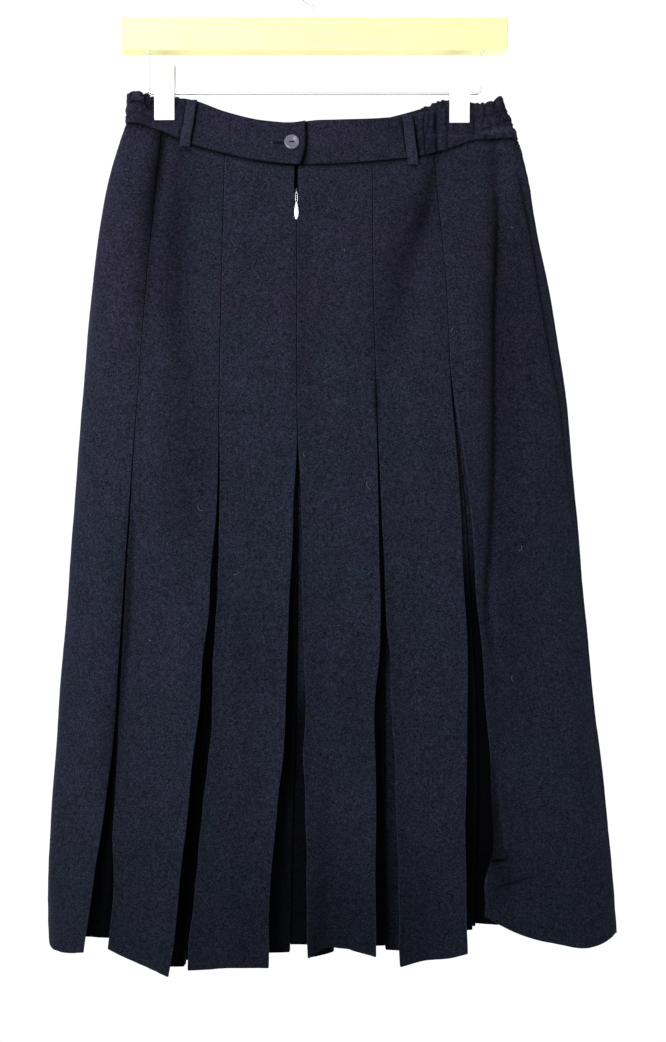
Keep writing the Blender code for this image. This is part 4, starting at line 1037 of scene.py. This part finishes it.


# Tucks, lips and seams of the band: side, ends of each line (x, distance below the top edge),
# width, depth, how dark it lies: painted shade in tucks and beside the tab, a dark seam line, below 0 a
# painted highlight on a lip or rim
TUCKS = (
    (-1, (111.2, 1), (112.0, 38), 1.9, 1.6, 0.95), (-1, (100.0, 6), (101.2, 36), 1.3, 0.9, 0.70),
    (-1, (121.4, 2), (121.8, 37), 1.3, 0.9, 0.65), (-1, (155.3, 28), (157.0, 40), 1.6, 1.0, 0.90),
    (-1, (163.5, 24), (181, 21.5), 1.3, 1.2, 0.85), (-1, (162.8, 18), (166.2, 29), 1.7, -0.9, -0.70),
    (-1, (153, 31.0), (184, 29.6), 2.3, -1.2, -0.95), (-1, (142, 27), (152, 32), 1.2, 0.7, 0.60),
    (-1, (130, 33), (146, 34), 1.2, 0.6, 0.5), (-1, (172, 5), (176, 16), 2.2, 0.8, 0.5),
    (-1, (166, 2), (168, 18), 1.6, 0.6, 0.4), (-1, (147, 3), (146.5, 22), 1.5, 0.7, 0.4),
    (-1, (157, 6), (156, 20), 1.5, 0.7, 0.4), (-1, (94, 12), (96, 34), 1.4, 0.5, 0.4),
    (-1, (-161.5, 1), (-160.5, 10), 3.0, -0.9, -0.60), (-1, (-157, 0), (-154.6, 11), 1.7, 1.2, 0.90),
    (-1, (-167, 0), (-168.5, 9), 1.8, 1.0, 0.85), (-1, (-168, 13), (-151, 15), 1.6, 0.8, 0.75),
    (-1, (-150, 0), (-149, 12), 1.5, 0.8, 0.6),
    (-1, (-172.8, 9), (-173.2, 30), 1.4, 0.0, -0.6), (-1, (-76.3, -2), (-76.3, 40), 0.5, 0.25, 0.45),
    (-1, (-6.2, 4), (-6.6, 20), 1.3, 0.4, 0.85), (-1, (-6.8, 20), (-10.4, 38), 1.9, 0.6, 0.95),
    (1, (-130, 3), (-131, 36), 1.5, 1.0, 0.6), (1, (139, 2), (140, 35), 1.5, 1.0, 0.6))


def tucks(x, y, down):
    """Inset of the band's tucks and how dark they lie as painted shade, below 0 a painted highlight."""
    inset = np.zeros_like(x)
    dark = np.zeros_like(x)
    for side, start, end, width, deep, shade in TUCKS:
        along, across, length = line_frame(x, down, start, end)
        line = bell(across, 0, width) * ease(1 + along / 3) * ease(1 + (length - along) / 3)
        line = line * (np.sign(y) == side)
        inset += deep * line
        dark += shade * line
    return inset, dark


def free_share(x, y):
    """Share of free movement of the elastic, none under a clip or a belt loop."""
    free = np.ones_like(x)
    for centre, _ in CLIPS.values():
        free = free * ease((np.abs(x - centre) - 9) / 4)
    for side, top, low in BELT_LOOPS.values():
        free = np.where(np.sign(y) == side, free * ease((np.abs(x - (top + low) / 2) - 5) / 5), free)
    return free


def beside_loops(x, y, share):
    """1 where the shadow of a belt loop's edge falls on the band, fading outwards."""
    dark = np.zeros_like(x)
    for side, top, low in BELT_LOOPS.values():
        away = np.abs(x - top - share * (low - top)) - LOOP_WIDTH / 2
        dark = np.maximum(dark, np.exp(-(np.maximum(away, 0) / 1.8) ** 2) * (np.sign(y) == side))
    return dark


def make_band(name, first, last, pitch, shift, elastic):
    """Piece of the waistband between two places, given as (side, x) for each share of the height."""
    shares = BAND_DOWN / BAND_DOWN[-1]

    def columns(z, across):
        start = LAYOUT.along(first(shares)[0], first(shares)[1][:, None], z) - BAND_LAP
        end = LAYOUT.along(last(shares)[0], last(shares)[1][:, None], z) + BAND_LAP
        end = np.where(end < start, end + LAYOUT.row(LAYOUT.total, z), end)
        return start + (end - start) * across

    ends = columns(np.full((len(shares), 1), BAND_Z), np.array([0, 1]))
    length = float(np.mean(ends[:, 1] - ends[:, 0])) - 2 * BAND_LAP
    count = int(round(length / pitch))
    across = np.concatenate([[0, 0.0006, 0.002], np.arange(1, count) / count, [0.998, 0.9994, 1]])
    z = np.full((len(shares), len(across)), BAND_Z)
    for _ in range(5):
        s = columns(z, across)
        top = waist_height("top", s, z)
        seam = waist_height("seam", s, z)
        z = top + shares[:, None] * (seam + SEAM - top)
    x, y, _ = np.moveaxis(LAYOUT.place(s, 0, z), -1, 0)
    share = np.broadcast_to(shares[:, None], z.shape)
    inset = BAND_MIDDLE + shift(x) + 0.12 * BAND_WAVES(s, z) * np.sin(math.pi * share)
    half = BAND_HALF * (0.72 + 0.28 * np.sin(math.pi * share) ** 0.5)
    # painted shadow beside the belt loops and painted shade along the band's lower edge at the waist seam
    dark = np.maximum(0.85 * beside_loops(x, y, share), 0.7 * bell(share, 1.0, 0.022))
    if elastic:
        free = free_share(x, y)
        stitched = bell(share, 0.36, 0.03) + bell(share, 0.7, 0.025)
        swell, valley = ruffles(s, z)
        rise = (0.35 + 0.65 * np.sin(math.pi * np.clip(share, 0.05, 0.95)) ** 0.5) * (1 - 0.55 * stitched)
        frill = 1 + 0.9 * (1 - share) ** 2
        inset = inset - free * (1.7 * rise * frill * swell - 1.1)
        inset = inset + 0.35 * stitched * (0.25 + 0.75 * free)
        z = z + free * (1 - share) ** 4 * 1.8 * (swell - 0.6)
        # painted shade in the ruffles' valleys and along the stitched channels
        dark = np.maximum(dark, np.maximum(0.75 * valley * free, 0.3 * stitched * free))
    else:
        inset = inset + 0.16 * bell(share, 0.93, 0.035)
    # painted shadow beside the tab's end, wider towards the bottom
    if name == "waistband_front_right":
        low = np.maximum(0.0, 2 * share - 1)
        beside_tab = np.maximum(x - TAB_END_X + TAB_SLANT * low ** 2, 0)
        dark = np.maximum(dark, 0.97 * bell(beside_tab, 0, 2.4 + 3.0 * low))
    tucked, shade = tucks(x, y, share * BAND_DOWN[-1])
    from_first = across * length
    from_last = (1 - across) * length
    edge = taper(BAND_DOWN, BAND_EDGE)[:, None] * taper(BAND_DOWN[-1] - BAND_DOWN, BAND_EDGE)[:, None]
    half = half * edge * taper(from_first, 0.8) * taper(from_last, 0.8)
    # painted shade where the band's pieces meet
    dark = np.maximum(dark, 0.6 * (bell(from_first, 0, 0.9) + bell(from_last, 0, 0.9)))
    path = s - s[:, s.shape[1] // 2, None]
    wear_and_painted_light = np.maximum(0.35 * bell(share, 0.0, 0.03) - dark - shade, -1)
    return cloth_piece(name, s, inset + tucked, z, half, half, path, wear_and_painted_light)


def make_waistband():
    def fixed(side, x):
        return lambda shares: (side, np.full(len(shares), float(x)))

    def tab_end(shares):
        return -1, TAB_END_X - TAB_SLANT * np.maximum(0.0, 2 * shares - 1) ** 2

    def tab(x):
        return -TAB_LIFT * ease((x - TAB_LIFT_X) / TAB_LIFT_LENGTH)

    def underlap(x):
        return UNDERLAP_DROP * (1 - ease((x - UNDERLAP_DROP_X) / UNDERLAP_DROP_LENGTH))

    def level(x):
        return 0 * x

    left = fixed(-1, LOOP_LEFT_X)
    right = fixed(-1, LOOP_RIGHT_X)
    back_left = fixed(1, BACK_ELASTIC_LEFT_X)
    back_right = fixed(1, BACK_ELASTIC_RIGHT_X)
    pieces = (
        ("waistband_front_left", left, tab_end, 2.0, tab, False),
        ("waistband_front_right", fixed(-1, UNDERLAP_X), right, 1.2, underlap, False),
        ("waistband_elastic_right", right, back_right, 1.0, level, True),
        ("waistband_back", back_right, back_left, 2.0, level, False),
        ("waistband_elastic_left", back_left, left, 1.0, level, True))
    return {piece[0]: make_band(*piece) for piece in pieces}


BAND_PIECES = make_waistband()


def make_belt_loop(name, side, top_x, low_x):
    """Strip sewn down at both ends, standing off the band between them."""
    shares = np.concatenate([[0, 0.006, 0.02], np.linspace(0.05, 0.95, 26), [0.98, 0.994, 1]])
    x = top_x + shares * (low_x - top_x)
    middle = LAYOUT.along(side, x, WAIST_Z)
    top = waist_height("top", middle, WAIST_Z)
    seam = waist_height("seam", middle, WAIST_Z)
    z = top - 0.5 + shares * (seam - top + 1.5 - LOOP_BELOW.get(name, 1.0))
    bow = np.minimum(1.0, np.sin(math.pi * shares) * 1.8)
    inset = BAND_OUT - 2 * SEAM - FACE - LOOP_STANDS * bow
    half_across = np.array([0.25, 0.5, 0.66, 0.76, 0.86, 0.94, 0.985, 1])
    across = np.concatenate([-half_across[::-1], [0], half_across])
    s = LAYOUT.along(side, x, z)[:, None] + across * LOOP_WIDTH / 2
    z = np.broadcast_to(z[:, None], s.shape)
    stitched = bell(np.abs(across), 0.7, 0.07)
    inset = inset[:, None] + 0.12 * stitched + 0.25 * across ** 2
    half = 0.6 * (1 - 0.2 * stitched) * taper((1 - np.abs(across)) * LOOP_WIDTH / 2, 0.6)
    half = half * taper(shares * 38, 0.7)[:, None] * taper((1 - shares) * 38, 0.7)[:, None]
    # painted highlight over the standing loop and its edges, painted shadow along its right edge
    wear_and_painted_light = 0.5 + 0.3 * bell(np.abs(across), 1, 0.12) - 1.3 * ease((across - 0.78) / 0.2)
    path = s - s[:, len(half_across), None]
    return cloth_piece(name, s, inset, z, half, half, path, np.broadcast_to(wear_and_painted_light, s.shape))


LOOP_PIECES = {name: make_belt_loop(name, *sizes) for name, sizes in BELT_LOOPS.items()}


# ---------------------------------------------------------------- turned and swept
def tube_faces(rings, sides, closed=False):
    """Quads between rings of points, one ring after the other."""
    faces = []
    for r in range(rings if closed else rings - 1):
        for k in range(sides):
            n = (k + 1) % sides
            b = (r + 1) % rings
            faces.append((sides * r + k, sides * r + n, sides * b + n, sides * b + k))
    return faces


def end_faces(rings, sides):
    return [tuple(reversed(range(sides))), tuple(range(sides * (rings - 1), sides * rings))]


def turned(profile, sides, centre=(0, 0, 0), axis=1):
    """Points and faces of a profile of (radius, height) turned about an axis, closed at both ends."""
    points = []
    for radius, height in profile:
        for k in range(sides):
            angle = 2 * math.pi * k / sides
            point = [radius * math.cos(angle), radius * math.sin(angle)]
            point.insert(axis, height)
            points.append([a + b for a, b in zip(point, centre)])
    return points, tube_faces(len(profile), sides) + end_faces(len(profile), sides)


def swept(path, radius, sides, closed=False):
    """Points and faces of a round wire along a path; the radius may vary."""
    path = np.asarray(path, dtype=float)
    if closed:
        way = np.roll(path, -1, axis=0) - np.roll(path, 1, axis=0)
    else:
        way = np.gradient(path, axis=0)
    way /= np.linalg.norm(way, axis=1, keepdims=True)
    side = np.cross(way[0], (0.3, 0.2, 0.93))
    points = []
    for point, direction, size in zip(path, way, np.broadcast_to(radius, len(path))):
        side = side - direction * np.dot(side, direction)
        side /= np.linalg.norm(side)
        up = np.cross(direction, side)
        for k in range(sides):
            angle = 2 * math.pi * k / sides
            points.append(point + size * (math.cos(angle) * side + math.sin(angle) * up))
    return points, tube_faces(len(path), sides, closed) + ([] if closed else end_faces(len(path), sides))


def circle(radius, steps):
    """Points round a circle, in its own plane."""
    angles = np.linspace(0, 2 * math.pi, steps, endpoint=False)
    return [(radius * math.cos(angle), radius * math.sin(angle)) for angle in angles]


def solid(name, parts, slot, sharp=60, **how):
    """Dressed object of several (points, faces) with its normals outwards."""
    points = []
    faces = []
    for some_points, some_faces in parts:
        faces += [tuple(len(points) + k for k in face) for face in some_faces]
        points += [tuple(point) for point in some_points]
    thing = new_object(name, points, faces, sharp)
    work = bmesh.new()
    work.from_mesh(thing.data)
    bmesh.ops.recalc_face_normals(work, faces=work.faces)
    work.to_mesh(thing.data)
    work.free()
    return dress(thing, slot, **how) if slot else thing


def posed(points, centre, lean):
    """Points round their own origin, Y out of the front, set on the leaning cloth."""
    points = np.asarray(points, dtype=float)
    cos, sin = math.cos(-lean), math.sin(-lean)
    y = points[:, 1] * cos - points[:, 2] * sin
    z = points[:, 1] * sin + points[:, 2] * cos
    return np.stack([points[:, 0], y, z], axis=1) + np.asarray(centre)


def surface(x, z, inset):
    """Point on the front of the plan outline and the lean of the cloth there."""
    heights = np.array([z, z - 12.0, z + 12.0])
    point, below, above = LAYOUT.place(LAYOUT.along(-1, x, heights), inset, heights)
    return point, math.atan2(above[1] - below[1], above[2] - below[2])


# ------------------------------------------------------------------ button and zip
BUTTON_AT = (-20.0, -175.0)
BUTTON_THICK = 2.4
BUTTON_HOLE_X = 1.9
# Radius and height of the button's outline, from the middle of its face to that of its back
BUTTON_PROFILE = (
    (0.01, 1.15), (2.9, 1.1), (3.9, 0.95), (4.5, 0.5), (5.0, 0.12), (5.5, 0.0), (6.1, 0.05), (6.6, 0.4),
    (6.85, 0.9), (6.85, 1.5), (6.6, 1.95), (6.1, 2.3), (5.4, 2.4), (0.01, 2.4))
# Half of a strand of thread between the button's two holes: x, depth
STRAND = ((2.2, 1.25), (1.7, 0.78), (0.8, 0.62))


def make_button():
    back, lean = surface(*BUTTON_AT, BAND_OUT - TAB_LIFT - 0.45)
    centre = back - np.array([0, BUTTON_THICK, 0])

    def placed(form):
        return posed(form[0], centre, lean), form[1]

    solid("button_disc", [placed(turned(BUTTON_PROFILE, 64))], "button", 35, nodes=("button",))
    holes = []
    thread = []
    for x in (-BUTTON_HOLE_X, BUTTON_HOLE_X):
        holes.append(placed(swept([(x + u, 1.02, v) for u, v in circle(0.75, 20)], 0.16, 8, True)))
        thread.append(placed(turned([(0.01, 1.03), (0.72, 1.03), (0.72, 1.3), (0.01, 1.3)], 20, (x, 0, 0))))
    solid("button_hole_rims", holes, "button")
    for offset in (-0.42, 0.0, 0.42):
        half = [(x, y, offset * (0.8 if x < 1 else 1.0)) for x, y in STRAND]
        path = [(-x, y, z) for x, y, z in half] + [(0.0, 0.58, offset * 0.7)] + half[::-1]
        thread.append(placed(swept(path, 0.24, 8)))
    solid("button_thread", thread, "skirt_cloth", material=THREAD)


def on_tab(u, v, lift):
    """Point on the tab's face, u across from the button and v up."""
    x = BUTTON_AT[0] + u
    z = BUTTON_AT[1] - 0.7 + v
    rise = -TAB_LIFT * float(ease((x - TAB_LIFT_X) / TAB_LIFT_LENGTH))
    return LAYOUT.place(LAYOUT.along(-1, x, z), BAND_OUT + rise - lift, z)


# Paths of a stitch beside the slit and of one across its end: v, lift
SLIT_STITCH = ((0.28, -0.1), (0.5, 0.16), (1.0, 0.16), (1.3, -0.1))
TACK_STITCH = ((-1.5, -0.15), (-1.0, 0.24), (1.0, 0.24), (1.5, -0.15))


def make_buttonhole():
    """Slit edged with close stitches, with a light bar tack at its far end."""
    parts = []
    for up in (1, -1):
        for u in np.linspace(-17.2, -7.0, 22):
            parts.append(swept([on_tab(u, up * v, lift) for v, lift in SLIT_STITCH], 0.26, 6))
    # near-black stitches: thread colour and painted shade of the slit
    solid("buttonhole_stitches", parts, "skirt_cloth", material=SLIT_THREAD_AND_SHADE)
    parts = []
    for u in np.linspace(-18.6, -17.65, 6):
        parts.append(swept([on_tab(u, v, lift) for v, lift in TACK_STITCH], 0.19, 6))
    solid("buttonhole_tack", parts, "skirt_cloth", material=LIGHT_THREAD)


ZIP_AXIS_Z = -223.0
BAIL_STANDS = 1.7
PULL_TILT = 2.0
SLIDER_BEHIND = BAIL_STANDS + 1.2 + LAYER + SEAM


def zip_frame():
    x = float(curve(FRONT_X, "C", np.array(ZIP_AXIS_Z)))
    _, lean = surface(x, ZIP_AXIS_Z - 8, 0)
    point, _ = surface(x, ZIP_AXIS_Z, 0)
    return point + BAIL_STANDS * np.array([0, -math.cos(lean), math.sin(lean)]), lean


def rounded_plate(outline, thick, edge, steps=3):
    """Points and faces of a flat plate in X and Z with rounded edges, Y from -thick/2 to thick/2."""
    outline = np.asarray(outline, dtype=float)
    way = np.roll(outline, -1, axis=0) - np.roll(outline, 1, axis=0)
    way /= np.linalg.norm(way, axis=1, keepdims=True)
    inward = np.stack([-way[:, 1], way[:, 0]], axis=1)
    rings = []
    for side in (-1, 1):
        for k in range(steps + 1):
            angle = math.pi / 2 * (k / steps if side < 0 else 1 - k / steps)
            shrink = edge * (1 - math.sin(angle))
            y = side * (thick / 2 - edge * (1 - math.cos(angle)))
            ring = outline + inward * shrink
            rings.append(np.stack([ring[:, 0], np.full(len(ring), y), ring[:, 1]], axis=1))
    count = len(outline)
    ends = [tuple(range(count)), tuple(range(count * (len(rings) - 1), count * len(rings)))]
    return np.concatenate(rings), ends + tube_faces(len(rings), count)


# Half outline of the zip pull's plate and of the ridge round its face, and the wire frame that
# holds it, in X and Z from its axis
PULL_PLATE = ((0.45, -8.4), (0.8, -9.2), (1.0, -10.6), (1.35, -12.4), (1.75, -14.6), (2.1, -17.2),
              (2.0, -19.6), (1.6, -22.0), (0.95, -24.0), (0.35, -24.8))
PULL_RIDGE = ((0.85, -13.5), (1.15, -17), (0.85, -20.3))
PULL_FRAME = ((0.35, -8.8), (0.85, -7.4), (0.95, -5.0), (0.95, -0.4), (0.7, 0))
PULL_BARS_Z = (-2.9, -6.2)
SLIDER_OUTLINE = ((-3.0, -6.0), (-2.2, 6.0), (2.2, 6.0), (3.0, -6.0))
TEETH = 118
TEETH_TOP = -200.0
TEETH_PITCH = 1.45


def make_zip():
    """Slider with its bail, the pull that swings in it, and the teeth."""
    centre, lean = zip_frame()
    body, body_faces = rounded_plate(SLIDER_OUTLINE, 2.6, 0.5)
    parts = [
        swept([(0.0, y, z) for y, z in circle(1.12, 24)], 0.33, 8, True),
        swept([(0, 1.3, 0), (0, 2.6, 0), (0, SLIDER_BEHIND + 0.6, 0)], 0.5, 10),
        (body + np.array([0, SLIDER_BEHIND + 1.4, 0]), body_faces)]
    parts = [(posed(points, centre, lean), faces) for points, faces in parts]
    solid("zip_slider_metal", parts, "zip_metal", 50, nodes=("zip_slider",))

    lean -= math.radians(PULL_TILT)
    plate = list(PULL_PLATE) + [(-x, z) for x, z in reversed(PULL_PLATE)]
    frame_path = [(-x, 0, z) for x, z in PULL_FRAME] + [(x, 0, z) for x, z in reversed(PULL_FRAME)]
    ridge = [(0.0, -10.9), *PULL_RIDGE, (0.0, -22.6), *((-x, z) for x, z in reversed(PULL_RIDGE))]
    parts = [rounded_plate(plate[::-1], 0.9, 0.3), swept(frame_path, 0.19, 8)]
    parts += [swept([(-0.95, 0, z), (0.95, 0, z)], 0.22, 8) for z in PULL_BARS_Z]
    parts += [swept([(x, y, z) for x, z in ridge], 0.16, 6, True) for y in (-0.46, 0.46)]
    parts = [(posed(points, centre, lean), faces) for points, faces in parts]
    solid("zip_pull_metal", parts, "zip_metal", 50, body="zip_pull", nodes=("zip_pull",))

    parts = []
    for z in TEETH_TOP - TEETH_PITCH * np.arange(TEETH):
        spread = 2.6 * float(ease((z + 232) / 12))
        middle = float(line_at("C", np.array([z]))[0])
        inset = 4.0 + float(soft_inset(middle, z)) - np.array([0.1, 0.75, 0.75])
        for side in (-1, 1):
            along = middle + side * (spread + np.array([0.05, 0.975, 1.9]))
            parts.append(swept(LAYOUT.place(along, inset, np.full(3, z + 0.36 * side)), 0.3, 6))
    solid("zip_teeth", parts, "zip_tape")


def soft_inset(s, z):
    """Inset of the folds at one place near the zip."""
    point = LAYOUT.place(np.array([s]), 0, np.array([z]))
    return soft_folds(point[:, 0], point[:, 1], np.array([z]))[0]


make_button()
make_buttonhole()
make_zip()

# -------------------------------------------------------------------------- hanger
ROD_Z = -126.7
ROD_ENDS = (-152.7, 155.0)      # X of the uprights that run into the bar
BAR_TOP = -59.5
BAR_BOTTOM = -89.2


def arc(centre, radius, first, last, steps):
    angles = np.radians(np.linspace(first, last, steps + 1))
    return [(centre[0] + radius * math.cos(a), 0.0, centre[1] + radius * math.sin(a)) for a in angles]


def make_rod():
    """Wire between the clips, bent up at both ends into the bar."""
    left, right = ROD_ENDS
    bend = 6.0
    top = BAR_BOTTOM + 9.0
    path = [(left, 0, z) for z in np.linspace(top, ROD_Z + bend + 1, 12)]
    path += arc((left + bend, ROD_Z + bend), bend, 180, 270, 10)
    path += [(x, 0, ROD_Z) for x in np.linspace(left + bend + 1, right - bend - 1, 60)]
    path += arc((right - bend, ROD_Z + bend), bend, 270, 360, 10)
    path += [(right, 0, z) for z in np.linspace(ROD_Z + bend + 1, top, 12)]
    solid("rod_wire", [swept(path, 1.45, 20)], "hanger_wire", nodes=("hanger_rod",))


def make_hook():
    """Wire hook with a rounded tip, which runs down into the bar through a collar."""
    middle = 21.9
    turn = 245.0
    path = arc((0, -20), middle, -35, turn, 70)
    heading = math.radians(turn + 90 - 360)
    size = -path[-1][0] / (math.sin(heading) + 1)
    path += arc((-size, path[-1][2] - size * math.cos(heading)), size, math.degrees(heading) + 90, 0, 12)[1:]
    path += [(0, 0, z) for z in np.linspace(path[-1][2] - 1, BAR_TOP - 12, 10)]
    radius = np.full(len(path), 1.9)
    radius[:4] = (0.9, 1.5, 1.8, 1.88)
    solid("hook_wire", [swept(path, radius, 24)], "hanger_wire", nodes=("hanger_hook",))
    collar = ((2.0, 0), (3.6, 0), (3.9, 0.3), (3.9, 0.9), (3.3, 1.5), (2.6, 1.9), (2.0, 2.0))
    solid("hook_collar", [turned(collar, 32, (0, 0, BAR_TOP + 0.05), 2)], "hanger_wire", 40)


def make_sleeves():
    """Metal sleeves where the rod's ends run into the bar."""
    sleeve = ((1.55, 0.3), (2.3, 0.2), (2.5, 0), (2.4, -0.6), (1.9, -1.0), (1.55, -1.05))
    solid("rod_sleeves", [turned(sleeve, 24, (x, 0, BAR_BOTTOM), 2) for x in ROD_ENDS], "hanger_wire", 40)


JAW = ((-3.9, -26.8), (-3.2, -24.0), (-3.2, -3.7), (-1.85, -2.0), (-1.85, 3.6), (-4.0, 8.0), (-7.4, 28.2),
       (-8.6, 29.0), (-10.2, 28.2), (-7.6, 9.0), (-6.9, 0.0), (-6.3, -14.0), (-5.6, -25.4), (-4.9, -26.8))
CLIP_WIDTH = 18.5
GRIP_DOT = ((1.25, 0.25), (1.2, 0.0), (1.0, -0.28), (0.6, -0.45), (0.01, -0.5))


def make_jaw(name, x, side):
    """One jaw of a clip, rounded, with two rows of grip dots on its finger end."""
    longer = 1.5 if "right" in name else -1.0
    outline = [(-side * y, ROD_Z + z - (longer if z < -20 else 0)) for y, z in JAW]
    points = [(x + at, y, z) for at in (-CLIP_WIDTH / 2, CLIP_WIDTH / 2) for y, z in outline]
    count = len(outline)
    faces = [tuple(range(count)), tuple(range(count, 2 * count))] + tube_faces(2, count)
    jaw = solid(f"{name}_plastic", [(points, faces)], "clip_plastic", 30, nodes=(name,))
    bevel = jaw.modifiers.new("edges", "BEVEL")
    bevel.width = 0.55 * MM
    bevel.segments = 3
    bevel.limit_method = "ANGLE"
    bevel.angle_limit = math.radians(25)
    dots = []
    for row in range(4):
        for column in (-1, 1):
            centre = np.array([x + column * 3.6, side * (8.0 + 0.572 * row), ROD_Z + 11.5 + 4.3 * row])
            dot, faces = turned(GRIP_DOT, 20)
            dots.append((np.array(dot) * (1, -side, 1) + centre, faces))
    solid(f"{name}_grip", dots, "clip_plastic", 40)


for clip, (clip_x, _) in CLIPS.items():
    make_jaw(f"{clip}_front_jaw", clip_x, -1)
    make_jaw(f"{clip}_back_jaw", clip_x, 1)
make_rod()
make_hook()
make_sleeves()

CAD_SHOWN = {
    "hanger_bar": "hanger_wood", "zip_tape_left": "zip_tape", "zip_tape_right": "zip_tape",
    "clip_left_spring": "hanger_wire", "clip_right_spring": "hanger_wire"}
for node, slot in CAD_SHOWN.items():
    for material_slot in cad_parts[node].material_slots:
        material_slot.material = MATERIALS[slot]

# ---------------------------------------------------------------------------- lint
LINT = ((369, 485, 9, 1.2), (200, 508, 7, 0.8), (236, 573, 6, -0.7), (513, 678, 6, 1.4), (520, 548, 6, -1.2),
        (512, 227, 3, 0.4), (259, 277, 3, 0.9), (330, 450, 4, 0.3), (452, 330, 3, 2.0), (304, 455, 3, 1.0),
        (368, 515, 4, 1.8), (150, 640, 3, 0.5), (420, 700, 4, 2.4), (560, 620, 3, 0.2), (345, 250, 3, 1.5))
CAMERA = np.array([17.5, -1250.0, -520.0])
SCALE = 0.92            # millimetres to a pixel of the photograph in the hanger's plane


def ray_through(px, py):
    """Direction from the camera through a pixel."""
    return Vector(((px - PHOTO_WIDTH / 2) * SCALE, -CAMERA[1], -(py - PHOTO_HEIGHT / 2) * SCALE)).normalized()


def make_lint():
    """Loose light fibres lying on the front."""
    scene = bpy.context.evaluated_depsgraph_get()
    trees = [BVHTree.FromObject(piece, scene) for name, piece in GORE_PIECES.items() if "front" in name]
    parts = []
    for px, py, length, angle in LINT:
        path = []
        for t in np.linspace(-0.5, 0.5, 7):
            bend = 0.9 * (0.25 - t * t)
            across = length / SCALE * (t * math.cos(angle) - bend * math.sin(angle))
            down = length / SCALE * (t * math.sin(angle) + bend * math.cos(angle))
            hits = [tree.ray_cast(Vector(CAMERA * MM), ray_through(px + across, py + down)) for tree in trees]
            hits = [hit for hit in hits if hit[0] is not None]
            if hits:
                hit = min(hits, key=lambda found: found[3])
                path.append(np.array(hit[0]) / MM + np.array(hit[1]) * 0.22)
        if len(path) > 3:
            parts.append(swept(path, 0.16, 5))
    fibre = plastic_material("lint_fibre", (0.11, 0.115, 0.14), 0.8, 400)
    solid("lint", parts, "skirt_cloth", material=fibre)


make_lint()


# ------------------------------------------------------------ floor, light, camera
def make_floor():
    """Pale round floor below the skirt."""
    profile = ((380, -20), (380, -4), (378, 0), (0.01, 0))
    floor = solid("floor", [turned(profile, 96, (0, 0, -1150), 2)], None, 50)
    paint = new_material("pale_floor")
    paint.set(Base_Color=(0.9, 0.9, 0.9), Roughness=0.9)
    floor.data.materials.append(paint.owner)


def area_light(name, place, target, size, power):
    data = bpy.data.lights.new(name, "AREA")
    data.shape = "DISK"
    data.size = size
    data.energy = power
    light = bpy.data.objects.new(name, data)
    bpy.context.collection.objects.link(light)
    light.location = place
    light.rotation_euler = (Vector(target) - Vector(place)).to_track_quat("-Z", "Y").to_euler()


# Strength of the surroundings as light on the piece, what straight below adds to it, and
# their strength where they are seen
AROUND = 0.06
BELOW = 3.0
SEEN = 1.05


def make_world():
    """White surroundings, soft as light on the cloth and bright from straight below."""
    world = bpy.data.worlds.new("studio")
    n = Nodes(world)
    n.tree.nodes.clear()
    parts = n.add("ShaderNodeSeparateXYZ")
    n.link(n.add("ShaderNodeTexCoord").outputs["Generated"], parts.inputs[0])
    steep = n.math("POWER", n.times(parts.outputs["Z"], -1.0, clamp=True), 3.0)
    strength = n.add("ShaderNodeMix")
    n.link(n.add("ShaderNodeLightPath").outputs["Is Diffuse Ray"], strength.inputs["Factor"])
    n.link(SEEN, strength.inputs["A"])
    n.link(n.math("MULTIPLY_ADD", steep, BELOW, AROUND), strength.inputs["B"])
    background = n.fill(n.add("ShaderNodeBackground"), (1, 1, 1), strength.outputs[0])
    n.link(background, n.add("ShaderNodeOutputWorld").inputs[0])
    bpy.context.scene.world = world


def make_camera():
    data = bpy.data.cameras.new("camera")
    data.sensor_fit = "HORIZONTAL"
    data.sensor_width = 36.0
    data.lens = 36.0 * -CAMERA[1] / (PHOTO_WIDTH * SCALE)
    camera = bpy.data.objects.new("camera", data)
    bpy.context.collection.objects.link(camera)
    camera.location = CAMERA * MM
    camera.rotation_euler = (math.pi / 2, 0, 0)
    bpy.context.scene.camera = camera


# Name, place and target in metres, size, power
LIGHTS = (
    ("key", (-0.50, -1.05, -0.10), (0, 0, -0.32), 0.4, 14),
    ("left", (-2.0, -0.3, 0.5), (-0.2, 0, -0.25), 0.7, 16),
    ("fill", (1.4, -2.2, 0.4), (0, 0, -0.4), 1.6, 7),
    ("right", (2.0, -0.5, 0.1), (0.2, 0, -0.35), 0.7, 6),
    ("back_key", (0.50, 1.05, -0.10), (0, 0, -0.32), 0.4, 14))

make_floor()
make_world()
make_camera()
for light in LIGHTS:
    area_light(*light)
bpy.context.scene.view_settings.view_transform = "Standard"
